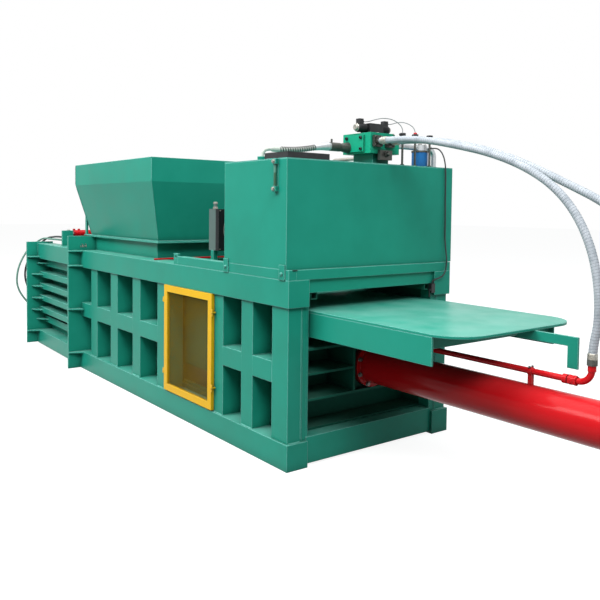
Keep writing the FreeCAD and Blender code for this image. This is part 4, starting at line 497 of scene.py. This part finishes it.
class Line:
    """A hose's own spline, as points with two directions square to it."""

    def __init__(self, hose):
        bare = bpy.data.objects.new("line", hose.data.copy())
        bare.data.bevel_depth = 0
        bare.data.resolution_u = 16
        self.points = [vert.co.copy() for vert in bpy.data.meshes.new_from_object(bare).vertices]
        bpy.data.objects.remove(bare)
        self.far = [0.0]
        for a, b in zip(self.points, self.points[1:]):
            self.far.append(self.far[-1] + (b - a).length)
        self.length = self.far[-1]
        self.run = self.length / MM
        self.sides = []
        side = (self.points[1] - self.points[0]).normalized().orthogonal().normalized()
        for behind, front in zip(self.points[:1] + self.points[:-1], self.points[1:] + self.points[-1:]):
            ahead = (front - behind).normalized()
            side = (side - ahead * side.dot(ahead)).normalized()
            self.sides.append((side.copy(), ahead.cross(side)))

    def beside(self, along, angle, radius):
        """A point this far along, at an angle round the hose, all in millimetres."""
        distance = min(max(along * MM, 0.0), self.length)
        i = min(max(bisect_left(self.far, distance) - 1, 0), len(self.far) - 2)
        share = (distance - self.far[i]) / max(self.far[i + 1] - self.far[i], 1e-9)
        middle = self.points[i].lerp(self.points[i + 1], share)
        side, other = (self.sides[i][k].lerp(self.sides[i + 1][k], share) for k in (0, 1))
        return middle + (side * cos(angle) + other * sin(angle)) * radius * MM

    def hoop(self, built, along, radius, sides=20):
        """New points in a ring round the hose."""
        return [built.verts.new(self.beside(along, TURN * k / sides, radius)) for k in range(sides)]


# The wrap on the pressure hoses: the radii its turns lie at, and how they are wound.
WRAP_INNER, WRAP_OUTER, WRAP_PITCH, WRAP_WIDTH = 21.2, 22.2, 16, 19
WRAP_START, WRAP_LEFT_BARE = 60, 70


def wound(name, line, section, pitch, start, stop, steps_a_turn, closed, material, smooth):
    """A strand wound round a hose; its section is given as (distance along the hose, radius)."""
    steps = int((stop - start) / pitch * steps_a_turn)
    built = bmesh.new()
    rows = []
    for i in range(steps + 1):
        along = start + (stop - start) * i / steps
        rows.append([built.verts.new(line.beside(along + shift, TURN * along / pitch, radius))
                     for shift, radius in section])
    skin(built, rows, closed)
    return piece(name, built, material, smooth)


def wound_band(name, line):
    """The flat band of the wrap, each turn lapping the last."""
    section = [(0.0, WRAP_OUTER - 0.1), (0.06 * WRAP_WIDTH, WRAP_OUTER),
               (0.55 * WRAP_WIDTH, (WRAP_INNER + WRAP_OUTER) / 2), (WRAP_WIDTH, WRAP_INNER)]
    stop = line.run - WRAP_LEFT_BARE
    return wound(name, line, section, WRAP_PITCH, WRAP_START, stop, 20, False, NYLON_WRAP, 50)


def wound_wire(name, line, radius, wire, pitch, start, stop, material):
    """A round wire or cord; radius is where its middle lies."""
    section = [(wire * across, radius + wire * out) for out, across in around(6)]
    return wound(name, line, section, pitch, start, stop, 16, True, material, 80)


def line_sleeve(name, line, outline, material):
    """A sleeve round a hose on the frame: outline is (distance along the hose, radius)."""
    stops = []
    for (start, first), (stop, last) in zip(outline, outline[1:]):
        count = max(1, int(abs(stop - start) / 12))
        shares = [i / count for i in range(count)]
        stops += [(start + (stop - start) * share, first + (last - first) * share) for share in shares]
    built = bmesh.new()
    skin(built, [line.hoop(built, along, size) for along, size in stops + [outline[-1]]])
    return piece(name, built, material, smooth=40)


def ferrules(node, line, radius, length, body="frame"):
    """A crimped steel sleeve on each end of a hose, ridged, with a collar behind the ridges."""
    outline = [(0, 0.8), (0.2, 1.05)]
    for i in range(5):
        start = 0.22 + i * 0.14
        outline += [(start, 1.12), (start + 0.02, 1.2), (start + 0.1, 1.2), (start + 0.12, 1.12)]
    outline += [(0.94, 1.16), (1.0, 1.02), (1.0, 0.9)]
    sleeves = []
    for word, end, inward in (("upper", 0, length), ("lower", line.run, -length)):
        built = bmesh.new()
        skin(built, [line.hoop(built, end + share * inward, radius * swell) for share, swell in outline])
        sleeves.append(piece(f"{node}_ferrule_{word}", built, STEEL, 35, body))
    return sleeves


MAIN_ROUTE = [
    (48, 805, 2118), (-130, 805, 2118), (-380, 798, 2092), (-640, 792, 2040), (-890, 785, 1980),
    (-1120, 778, 1895), (-1310, 770, 1785), (-1450, 764, 1640), (-1545, 757, 1460), (-1592, 750, 1270),
    (-1600, 746, 1090), (-1572, 745, 965), (-1572, 745, 872)]
REAR_ROUTE = [
    (48, 922, 2118), (-130, 922, 2118), (-370, 930, 2096), (-610, 936, 2050), (-850, 938, 1985),
    (-1080, 936, 1895), (-1300, 930, 1795), (-1500, 915, 1705), (-1680, 885, 1590), (-1810, 845, 1440),
    (-1872, 800, 1270), (-1868, 765, 1100), (-1800, 748, 950), (-1765, 745, 830), (-1765, 745, 722)]
GUARD_ROUTE = [
    (313, 572, 2080), (313, 520, 2079), (315, 460, 2069), (318, 398, 2056), (323, 334, 2046),
    (330, 270, 2040), (341, 206, 2038), (356, 150, 2038), (373, 108, 2040), (387, 82, 2034), (394, 67, 2014),
    (395, 64, 1987)]
CABLE_ROUTE = [
    (142, 1413, 2107), (104, 1413, 2107), (66, 1418, 2098), (36, 1428, 2060), (18, 1436, 1995),
    (14, 1440, 1890), (16, 1441, 1745), (14, 1443, 1595), (15, 1444, 1455), (4, 1442, 1365),
    (-13, 1437, 1290), (-20, 1426, 1222), (-24, 1394, 1170), (-19, 1342, 1150), (5, 1306, 1138),
    (5, 1306, 1112)]
OUTER_OUTLET_ROUTE = [
    (4439, 106, 1262), (4565, 106, 1262), (4700, 107, 1260), (4850, 109, 1257), (5000, 106, 1256),
    (5140, 102, 1258), (5250, 88, 1244), (5305, 38, 1196), (5318, -38, 1132), (5312, -106, 1038),
    (5306, -158, 930), (5302, -186, 820), (5300, -190, 710), (5300, -158, 605), (5298, -90, 505),
    (5288, -10, 405), (5262, 75, 305), (5218, 150, 215), (5140, 212, 145), (5030, 245, 105), (4900, 256, 98),
    (4770, 260, 100), (4660, 262, 100), (4580, 262, 100)]
INNER_OUTLET_ROUTE = [
    (4439, 106, 1296), (4560, 106, 1296), (4690, 111, 1293), (4825, 122, 1287), (4970, 134, 1276),
    (5100, 134, 1268), (5195, 114, 1238), (5240, 62, 1178), (5252, -6, 1100), (5254, -64, 1006),
    (5256, -100, 900), (5256, -108, 790), (5254, -84, 684), (5250, -30, 590), (5244, 46, 500),
    (5230, 122, 410), (5204, 178, 322), (5176, 205, 238), (5118, 228, 168), (5030, 240, 140),
    (4900, 246, 138), (4740, 243, 146), (4580, 243, 146)]
NEAR_LEAD_ROUTE = [
    (222, 804, 2262), (221, 842, 2264), (212, 900, 2284), (190, 970, 2300), (158, 1035, 2290),
    (128, 1074, 2254), (116, 1086, 2222), (116, 1086, 2199)]
FAR_LEAD_ROUTE = [
    (222, 1042, 2262), (221, 1072, 2264), (206, 1112, 2280), (176, 1158, 2284), (140, 1196, 2262),
    (118, 1214, 2230), (116, 1216, 2199)]


def pressure_hoses():
    """The two wrapped hoses from the valve block to the main cylinder."""
    rows = (("main_hose", MAIN_ROUTE, 2.413), ("rear_hose", REAR_ROUTE, 2.789))
    hoses = [route(node + "_run", 20.8, [spot(*stop) for stop in stops], NYLON_WRAP)
             for node, stops, _ in rows]
    for hose, (node, _, length) in zip(hoses, rows):
        line = Line(hose)
        band = wound_band(node + "_band", line)
        selvedge = wound_wire(node + "_selvedge", line, 21.8, 1.0, WRAP_PITCH, WRAP_START + 2,
                              line.run - WRAP_LEFT_BARE, WRAP_EDGE)
        ends = ferrules(node, line, 21.5, 64)
        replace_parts(hose, node)


def guarded_hose():
    """The return hose from the block to the lid: a cast elbow, a spiral guard over a liner, and a cuff."""
    hose = route("guard_hose_run", 12, [spot(*stop) for stop in GUARD_ROUTE], PALE_HOSE)
    line = Line(hose)
    end = line.run - 150
    spring = wound_wire("guard_hose_spring", line, 16.5, 4.2, 18, 120, end, GUARD)
    tube = [(118, 14.5), (120, 15), (end, 15), (end + 2, 14.5)]
    liner = line_sleeve("guard_hose_liner", line, tube, PALE_HOSE)
    collar = [(end - 4, 15), (end - 2, 18.5), (end + 54, 18.5), (end + 60, 12.5)]
    cuff = line_sleeve("guard_hose_cuff", line, collar, PALE_HOSE)
    cone = [(0, 28), (20, 30), (60, 27), (118, 22), (132, 21), (134, 16)]
    casting = line_sleeve("guard_hose_casting", line, cone, ALUMINIUM)
    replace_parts(hose, "guard_hose")


def limit_switch_cable():
    """The cable from the filter's boss down the tank's end to the limit switch."""
    points = [spot(*stop) for stop in CABLE_ROUTE]
    cable = route("switch_cable_run", 5, points, RUBBER)
    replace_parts(cable, "switch_cable")


def outlet_hoses():
    """The two thin hoses in a loop from the upper squeeze cylinder to the lower."""
    rows = (("outer_outlet_hose", OUTER_OUTLET_ROUTE, SPRAYED_RUBBER, 2.76),
            ("inner_outlet_hose", INNER_OUTLET_ROUTE, RUBBER, 2.571))
    hoses = [route(node + "_run", 11, [on_panel(spot(*stop)) for stop in stops], sheath, "near_panel_body")
             for node, stops, sheath, _ in rows]
    for hose, (node, _, _, length) in zip(hoses, rows):
        line = Line(hose)
        ends = ferrules(node, line, 11, 38, "near_panel_body")
        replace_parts(hose, node)


pressure_hoses()
guarded_hose()
limit_switch_cable()
outlet_hoses()


# ------ guard door

MESH_SIDES, MESH_ENDS = (0.1675, 0.8175), (0.230, 0.977)
STRAND_PITCH = (15 * MM, 9 * MM)
STRAND_WIDTH, STRAND_DEPTH = 0.7 * MM, 1.0 * MM
STRAND_PLANES = (-0.7446, -0.7424)


def door_mesh():
    """Expanded steel mesh: two runs of slanting strands, each cut at the door's frame."""
    built = bmesh.new()
    (left, right), (low, high) = MESH_SIDES, MESH_ENDS
    slope = STRAND_PITCH[1] / STRAND_PITCH[0]
    for lean, y in zip((slope, -slope), STRAND_PLANES):
        rise = lean * (right - left)
        foot = low - max(rise, 0)
        while foot < high - min(rise, 0):
            enter, leave = sorted(((low - foot) / rise, (high - foot) / rise))
            enter, leave = max(enter, 0.0), min(leave, 1.0)
            if leave - enter > 1e-6:
                a, b = (Vector((left + (right - left) * share, y, foot + rise * share))
                        for share in (enter, leave))
                across = Vector((-(b - a).z, 0, (b - a).x)).normalized() * STRAND_WIDTH / 2
                through = Vector((0, STRAND_DEPTH / 2, 0))
                ends = [[built.verts.new(end + across * i + through * j)
                         for i, j in ((-1, -1), (1, -1), (1, 1), (-1, 1))] for end in (a, b)]
                skin(built, ends)
            foot += STRAND_PITCH[1]
    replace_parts(piece("door_diamond_mesh", built, SHADED_MESH_YELLOW, body="door"), "door_mesh")


door_mesh()


# ------ press body

def frame_welds():
    """Fillet welds at the ribs' ends, round the end posts and at the hopper's corners."""
    hopper_foot, hopper_fold, rim_height = 1352, 1863, 0.2
    built = bmesh.new()
    for out, inset, ribs in ((NEAR_OUT, 15, RIBS), (FAR_OUT, BODY_WIDTH - 15, RIBS + [FAR_RIB])):
        for back, run in ribs:
            for height, lean in ((SILL_TOP, UP), (RAIL_FOOT, -UP)):
                weld_bead(built, spot(back, inset, height), spot(back + run, inset, height), out + lean)
    for inset, side in ((118, -1), (BODY_WIDTH - 118, 1)):
        weld_bead(built, spot(20, inset, SILL_TOP + 2), spot(20, inset, RAIL_FOOT - 2), NEAR_END, 5, 9)
        for height, lean in ((SILL_TOP, UP), (RAIL_FOOT, -UP)):
            weld_bead(built, spot(20, inset, height), spot(20, inset + side * 100, height), NEAR_END + lean)
    for inset, side in ((150, -1), (1340, 1)):
        for back, end in ((2105, 1), (3640, -1)):
            out = Vector((end, side, 0))
            fold = spot(back, inset, hopper_fold) + Vector((end * 0.128, side * 0.125, 0))
            weld_bead(built, spot(back, inset, hopper_foot), fold, out, 4)
            weld_bead(built, fold, fold + UP * rim_height, out, 4)
    piece("frame_welds", built, GREEN)


def rope_hooks():
    """Two hooks of bent rod on the joining flange."""
    back, foot, leg = 3562, 1230, 22
    built = bmesh.new()
    for inset in (10, 44):
        wire_loop(built, spot(back, inset + 5, foot + leg), "x", 11, 3.2, start=-0.2, stop=pi + 0.2)
        for side in (-6, 16):
            lathe(built, spot(back, inset + side, foot), "z", [(0, 3.2), (leg, 3.2)], 8)
    piece("flange_rope_hooks", built, STEEL, smooth=50)


def body_bolts():
    """The bolts of the cylinder's flange ring and of the tank's base frame."""
    ring = [spot(22, MIDDLE + 134 * across, BARREL_HEIGHT + 134 * up) for across, up in around(8, 22.5)]
    bolt_set("cylinder_flange_bolts", ring, "x", 24, 13, DARK_STEEL)
    for name, inset, axis in (("tank_base_bolts", -8, "-y"), ("tank_base_far_bolts", BODY_WIDTH + 8, "y")):
        bolt_set(name, places((66, 731), (inset,), (1238,)), axis, 19, 10, GREEN)


def plate_foot_strips():
    """Strips between the ribs that close the inner plates' feet down to the sills."""
    foot_height, half_thick = 21, 2.5
    built = bmesh.new()
    for inset, ribs in ((162, RIBS), (1328, sorted(RIBS + [FAR_RIB]))):
        fronts = [157] + [back + run for back, run in ribs]
        rears = [back for back, run in ribs] + [BODY_LENGTH - 1]
        for front, rear in zip(fronts, rears):
            block(built, spot(rear, inset - half_thick, SILL_TOP),
                  spot(front, inset + half_thick, SILL_TOP + foot_height), 1)
    piece("inner_plate_foot_strips", built, DULL_SHADED_GREEN)


frame_welds()
# the hardened edge in front of the throat, painted red as a warning
one_block("red_cutting_edge", spot(2003, 60, 1200), spot(1972, 1430, 1213), 2, RED)
rope_hooks()
body_bolts()
# a small black plate on the tank base's end whose black paints the shade of a slot seen there
one_block("tank_base_slot_shade_plate", spot(0, 28, 1259), spot(-4, 66, 1266), 1, BLACK)
plate_foot_strips()


# ------ cylinders

def barrel_welds():
    """Rippled seams round the barrel's rear cap, its flange and its port bosses."""
    built = bmesh.new()
    for back, radius in ((-1790, 119), (22, 120)):
        for i in range(120):
            angles = [radians(degrees) for degrees in (3 * i, 3 * i + 3.2)]
            ends = [spot(back, MIDDLE + radius * cos(angle), BARREL_HEIGHT + radius * sin(angle))
                    for angle in angles]
            middle = sum(angles) / 2
            weld_bead(built, *ends, Vector((0, cos(middle), sin(middle))), 4, 7)
    boss = 30.5
    for back in (140, REAR_ROUTE[-1][0]):
        for i in range(36):
            ends = []
            for angle in (radians(degrees) for degrees in (10 * i, 10 * i + 11)):
                across = boss * sin(angle)
                up = sqrt(BARREL_RADIUS ** 2 - across ** 2)
                ends.append(spot(back + boss * cos(angle), MIDDLE + across, BARREL_HEIGHT + up))
            weld_bead(built, *ends, UP, 4, 6)
    piece("barrel_welds", built, RED)


def pipe_fittings():
    """Nuts and clamp screws of the barrel's side pipe, and the nuts on the hoses' tails."""
    nut = [(-9, 22), (-7, 27), (9, 27), (11, 22)]
    turned("side_pipe_nuts", [(spot(back, MIDDLE, 778), "x", nut, 6) for back in (-1455, -1484)], RED)
    screws = places((-1219,), (MIDDLE - 14, MIDDLE + 14), (798,))
    bolt_set("side_pipe_clamp_screws", screws, "z", 11, 7, DARK_STEEL)
    tail = [(0, 22), (2, 30), (30, 30), (33, 24), (38, 23)]
    feet = (MAIN_ROUTE[-1], REAR_ROUTE[-1])
    turned("hose_tail_nuts", [(spot(*foot), "z", tail, 6) for foot in feet], DARK_STEEL)


barrel_welds()
pipe_fittings()


# ------ tank and valve gear

SOLENOID_BACK, SOLENOID_HEIGHT = 222, 2218.4
HOSE_PORTS, PORT_HEIGHT = (805, 922), 2118
BLOCK_FACE, BLOCK_TOP = 736, 2177
FILTER_BACK, FILTER_INSET, FILTER_TOP = 180, 1335, 2128
COVER_BACK, COVER_INSET = 600, 1140


def block_screws():
    """Cap screws in the block's near face and in the two hoses' flanges."""
    socket_screws("block_face_screws", places((172, 318), (BLOCK_FACE,), (2066, 2144)), "-y", 11, BLACK)
    insets = [inset + across for inset in HOSE_PORTS for across in (-27, 27)]
    flanges = places((68,), insets, (PORT_HEIGHT - 27, PORT_HEIGHT + 27))
    socket_screws("hose_flange_screws", flanges, "x", 8, DARK_STEEL)


def solenoids():
    """The coils' end nuts, cooling bands, and the plug caps that the leads come out of."""
    nut = [(-1, 26), (3, 27), (5, 22), (16, 22), (20, 18), (20, 8), (17, 0)]
    turned("solenoid_nuts", [(spot(SOLENOID_BACK, inset, SOLENOID_HEIGHT), axis, nut, 24)
                             for inset, axis in ((741.5, "-y"), (1033.5, "y"))], STEEL, smooth=40)
    built = bmesh.new()
    for first in (757, 973):
        for i in range(5):
            lathe(built, spot(SOLENOID_BACK, first + 11 * i, SOLENOID_HEIGHT), "y",
                  [(-2.5, 30), (-2, 33), (2, 33), (2.5, 30)], 28)
    for inset in (768.5, 1006.5):
        block(built, spot(SOLENOID_BACK + 18, inset - 17, 2272),
              spot(SOLENOID_BACK - 18, inset + 17, 2281), 3)
        neck = [(0, 13), (24, 13), (26, 11), (34, 8), (36, 4)]
        lathe(built, spot(SOLENOID_BACK, inset, 2262), "y", neck, 12)
    piece("solenoid_bands_and_plug_caps", built, BLACK_PLASTIC, smooth=35)


def block_plugs():
    """The relief valve's adjuster with its lock nut, and two port plugs on top of the block."""
    foot = spot(66, 877, 2030)
    turned("relief_valve_adjuster", [(foot, "x", [(0, 20), (2, 21), (10, 21), (12, 19)], 6),
                                     (foot, "x", [(12, 12), (34, 12), (38, 9), (38, 0)], 20)],
           DARK_STEEL, smooth=40)
    plug = [(0, 13), (6, 13), (7, 11), (7, 6), (4, 5.5), (4, 0)]
    turned("block_port_plugs", [(spot(130, inset, BLOCK_TOP), "z", plug, 6) for inset in (850, 1000)], STEEL)


def solenoid_leads():
    """The two grey leads in arcs over the block."""
    for name, stops in (("near_solenoid_lead", NEAR_LEAD_ROUTE), ("far_solenoid_lead", FAR_LEAD_ROUTE)):
        points = [spot(*stop) for stop in stops]
        lead = route(name, 3.2, points, CABLE_GREY)
        Line(lead).length


def pressure_switch(name, back, inset, knob):
    """A stand pipe with a hexagon body, a plug with its cable gland and, on one of them, a red knob."""
    foot = spot(back, inset, TANK_TOP)
    pipe = turned(name + "_stand", [
        (foot, "z", [(0, 8), (190, 8)], 16),
        (foot, "z", [(0, 15), (12, 15), (13, 12)], 6),
        (spot(back, inset, 2144), "z", [(0, 12), (1, 15), (20, 15), (22, 13), (28, 12)], 6)],
        DARK_STEEL, smooth=40)
    built = bmesh.new()
    block(built, spot(back + 17, inset - 17, 2172), spot(back - 17, inset + 17, 2196), 3)
    lathe(built, spot(back, inset - 14, 2184), "-y", [(0, 9), (10, 9), (12, 7), (18, 5)], 12)
    plug = piece(name + "_plug", built, BLACK_PLASTIC, smooth=35)
    if knob:
        cap = [(0, 12), (1, 13), (9, 13), (11, 11), (11, 0)]
        turned(name + "_knob", [(spot(back, inset, 2196), "z", cap, 20)], RED_PLASTIC, smooth=40)
    for part in (pipe, plug):
        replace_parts(part, "pressure_switches")


def level_gauge_fittings():
    """Banjo bolts and seals of the level gauge, which was painted over with the tank."""
    bolt_set("gauge_banjo_bolts", places((137,), (-26,), (1769, 1940)), "-y", 19, 9)
    seal = [(-4, 9), (-3, 11), (3, 11), (4, 9)]
    turned("gauge_tube_seals", [(foot, "z", seal, 20) for foot in places((137,), (-15,), (1786, 1923))],
           RUBBER, smooth=40)


def clean_out():
    """The round cover on the tank's lid and its ring of bolts."""
    cover = [(0, 130), (9, 130), (10, 128), (10, 0)]
    turned("clean_out_cover", [(spot(COVER_BACK, COVER_INSET, TANK_TOP), "z", cover, 48)], GREEN, smooth=40)
    ring = [spot(COVER_BACK + 114 * x, COVER_INSET + 114 * y, TANK_TOP + 10) for x, y in around(12)]
    bolt_set("clean_out_bolts", ring, "z", 13, 7)


def filter_details():
    """The bowl's clamp band and drain nut, and the head's bolts."""
    turned("filter_clamp_band", [
        (spot(FILTER_BACK, FILTER_INSET, 2082), "z", [(-10, 60), (-9, 63), (3, 63), (4, 60)], 40),
        (spot(FILTER_BACK, FILTER_INSET, FILTER_TOP), "z", [(0, 14), (9, 14), (10, 12), (10, 0)], 6)],
        DARK_STEEL, smooth=40)
    ring = [spot(FILTER_BACK + 38 * x, FILTER_INSET + 38 * y, FILTER_TOP) for x, y in around(4, 45)]
    bolt_set("filter_head_bolts", ring, "z", 10, 6)


block_screws()
solenoids()
block_plugs()
solenoid_leads()
pressure_switch("first_switch", 116, 1086, knob=False)
pressure_switch("second_switch", 116, 1216, knob=True)
pressure_switch("third_switch", 100, 1352, knob=False)
level_gauge_fittings()
clean_out()
filter_details()


# ------ pump set and cooler

SHAFT_INSET, SHAFT_HEIGHT = 1080, 1420
FAN_INSET, FAN_HEIGHT = 530, 1469


def round_shaft(back, radius, count, first=0.0):
    """Places in a circle round the pump set's shaft."""
    return [spot(back, SHAFT_INSET + radius * x, SHAFT_HEIGHT + radius * y) for x, y in around(count, first)]


def cooling_ribs():
    """The motor's ribs, left out under the terminal box and between the feet."""
    root_reach, rib_height, root_half, tip_half = 0.129, 0.013, 0.0022, 0.0012
    front, rear = 1110, 1470
    built = bmesh.new()
    for cosine, sine in around(36):
        if abs(cosine) < 0.55 and sine > 0 or sine < -0.62:
            continue
        out, side = Vector((0, cosine, sine)), Vector((0, -sine, cosine))
        ends = []
        for back in (front, rear):
            root = spot(back, SHAFT_INSET, SHAFT_HEIGHT) + out * root_reach
            tip = root + out * rib_height
            ends.append([built.verts.new(point + side * half) for point, half in
                         ((root, -root_half), (root, root_half), (tip, tip_half), (tip, -tip_half))])
        skin(built, ends)
        for end in ends:
            built.faces.new(end)
    piece("motor_cooling_ribs", built, GREY)


def pump_set_details():
    """The cowl's grille, the terminal box's lid with its gland, and the pump set's screws and bolts."""
    built = bmesh.new()
    for radius in range(30, 106, 15):
        wire_loop(built, spot(1561, SHAFT_INSET, SHAFT_HEIGHT), "-x", radius, 2.4, 40)
    piece("motor_cowl_grille", built, BLACK, smooth=50)
    built = bmesh.new()
    block(built, spot(1358, 1022, 1612), spot(1222, 1138, 1624), 4)
    lathe(built, spot(1290, 1138, 1585), "y", [(-4, 16), (14, 16), (16, 13), (30, 12), (32, 8)], 6)
    piece("terminal_box_lid", built, GREY, smooth=35)
    socket_screws("terminal_box_screws", places((1232, 1348), (1032, 1128), (1622,)), "z", 4, STEEL)
    bolt_set("motor_foot_bolts", places((1190, 1390), (952, 1208), (1278,)), "z", 19, 10)
    bolt_set("pump_cover_bolts", round_shaft(820, 62, 8), "x", 13, 8)
    bolt_set("bell_bolts", round_shaft(1088, 112, 4, 45), "x", 17, 10)


def cooler_fins():
    """Folded fins between the cooler's tubes."""
    rows, folds, left, width = 8, 104, 376, 308
    crest, trough, foot, tall = 1544, 1553.5, 1326, 286
    step = tall / rows
    built = bmesh.new()
    for i in range(rows):
        low = foot + i * step
        pleats = []
        for k in range(folds):
            back, inset = (trough if k % 2 else crest), left + width * k / (folds - 1)
            pleats.append([built.verts.new(spot(back, inset, height)) for height in (low + step / 2, low)])
        skin(built, pleats, closed=False)
    piece("cooler_fins", built, FIN_BLACK)


def fan_guard():
    """A wire guard of rings and spokes in front of the fan."""
    built = bmesh.new()
    middle = spot(1399, FAN_INSET, FAN_HEIGHT)
    for radius in range(60, 151, 18):
        wire_loop(built, middle, "x", radius, 1.8, 48)
    for cosine, sine in around(8, 22.5):
        out = Vector((0, cosine, sine))
        along_spoke = Matrix((out.cross(NEAR_END), NEAR_END, out)).transposed()
        lathe(built, middle + out * 0.057 + NEAR_END * 0.003, along_spoke, [(0, 2.2), (100, 2.2)], 8)
    piece("fan_wire_guard", built, STEEL, smooth=50)


def fan_motor_ribs():
    """Ribs and end cap of the cooler fan's motor."""
    rib = [(-1, 55), (-0.8, 57.5), (0.8, 57.5), (1, 55)]
    forms = [(spot(1390 - i * 5.5, FAN_INSET, FAN_HEIGHT), "x", rib, 36) for i in range(9)]
    forms.append((spot(1340, FAN_INSET, FAN_HEIGHT), "x", [(0, 44), (5, 43), (7, 38), (7, 0)], 32))
    turned("fan_motor_ribs", forms, ALUMINIUM, smooth=35)


def cooler_fittings():
    """The hose nuts on top of the cooler, and the shroud's screws."""
    forms = []
    for inset in (363, 697):
        forms.append((spot(1502, inset, 1636), "z", [(0, 19), (2, 20), (16, 20), (18, 18)], 6))
        forms.append((spot(1502, inset, 1676), "z", [(0, 15), (2, 18), (14, 18), (18, 14)], 6))
    turned("cooler_port_nuts", forms, STEEL)
    socket_screws("shroud_screws", places((1402,), (347, 713), (1314, 1624)), "x", 5, STEEL)


cooling_ribs()
pump_set_details()
cooler_fins()
fan_guard()
fan_motor_ribs()
cooler_fittings()


# ------ outlet

def squeeze_cylinder(name, inset, height, run, port):
    """The eye's bush with its hexagon cap and lock nut, the gland's ring, and two welded rings with ports
    that point up or down; run is from the eye's middle to the gland."""
    body = name + "_barrel_body"
    eye = on_panel(spot(4475, inset, height))
    turned(name + "_cylinder_bush_and_gland", [
        (eye - UP * 0.0215, "z", [(0, 31), (0.5, 33.2), (42.5, 33.2), (43, 31)], 32),
        (eye + UP * 0.0412, "z", [(0, 18), (6, 18), (7, 16), (7, 0)], 6),
        (eye + FAR_OUT * 0.033, "y", [(0, 19), (2, 24), (22, 24), (24, 21)], 6),
        (eye + FAR_OUT * run * MM, "y", [(0, 46), (1, 48), (11, 48), (12.5, 46)], 40)], STEEL, 35, body)
    ring, neck = [(0, 45), (1.5, 47.5), (6, 47.5), (8, 45)], [(0, 14), (14, 14), (15, 12), (15, 0)]
    forms = []
    for along in (64, 120):
        foot = eye + FAR_OUT * along * MM
        forms.append((foot, "y", ring, 40))
        forms.append((foot + UP * 0.044 * port, "z" if port > 0 else "-z", neck, 20))
    turned(name + "_cylinder_port_welds", forms, RED, 35, body)


squeeze_cylinder("top", 170, 1331, run=823, port=1)
squeeze_cylinder("low", 262, 100, run=639, port=-1)


# ------ floor, light and finish

WHITE = (1, 1, 1, 1)


def seen_plainly(tree):
    """1 for what the camera sees straight, mirrored or through clear parts, 0 for what only lights."""
    seen = add(tree, "LightPath", out="Is Camera Ray")
    for way in ("Is Glossy Ray", "Is Transmission Ray"):
        seen = add(tree, "Math", {0: seen, 1: add(tree, "LightPath", out=way)}, operation="MAXIMUM")
    return seen


def lay_floor():
    """A studio floor, plain white where it is seen, with the object's soft shadow on it."""
    material, tree, shader, _ = surface("studio_floor", Base_Color="#606262", Roughness=0.9)
    white = add(tree, "Emission", {"Color": WHITE, "Strength": 0.9})
    shaded = add(tree, "BsdfDiffuse", {"Color": "#8f9292"})
    lifted = add(tree, "AddShader", {0: white, 1: shaded})
    seen = add(tree, "MixShader", {0: seen_plainly(tree), 1: shader.outputs["BSDF"], 2: lifted})
    feed(tree, tree.nodes["Material Output"], {"Surface": seen})
    built = bmesh.new()
    bmesh.ops.create_grid(built, x_segments=8, y_segments=8, size=60)
    mesh = bpy.data.meshes.new("studio_floor")
    built.to_mesh(mesh)
    built.free()
    mesh.materials.append(material)
    floor = bpy.data.objects.new("studio_floor", mesh)
    floor.location.z = -0.002
    scene.collection.objects.link(floor)


def fill_world():
    """White all round, dimmer as a light than as a backdrop."""
    scene.world = bpy.data.worlds.new("studio")
    scene.world.use_nodes = True
    tree = scene.world.node_tree
    strength = add(tree, "MapRange", {"Value": seen_plainly(tree), "To Min": 0.26, "To Max": 1.0})
    feed(tree, tree.nodes["Background"], {"Color": WHITE, "Strength": strength})


def lamp(name, place, target, size, power):
    """A soft box: a rectangular lamp that faces its target."""
    data = bpy.data.lights.new(name, "AREA")
    data.shape = "RECTANGLE"
    data.size, data.size_y = size
    data.energy = power
    light = bpy.data.objects.new(name, data)
    light.location = place
    light.rotation_euler = (Vector(target) - Vector(place)).to_track_quat("-Z", "Y").to_euler()
    scene.collection.objects.link(light)


lay_floor()
fill_world()
lamp("key_softbox", (-1.0, -8.5, 8.5), (-0.3, 0, 0.9), (6, 4), 880)
lamp("end_softbox", (9.5, -5.0, 9.5), (0.5, 0, 1.2), (5, 4), 760)
lamp("ceiling_softbox", (1.0, -1.5, 8.0), (0.5, -0.5, 0.0), (14, 9), 900)
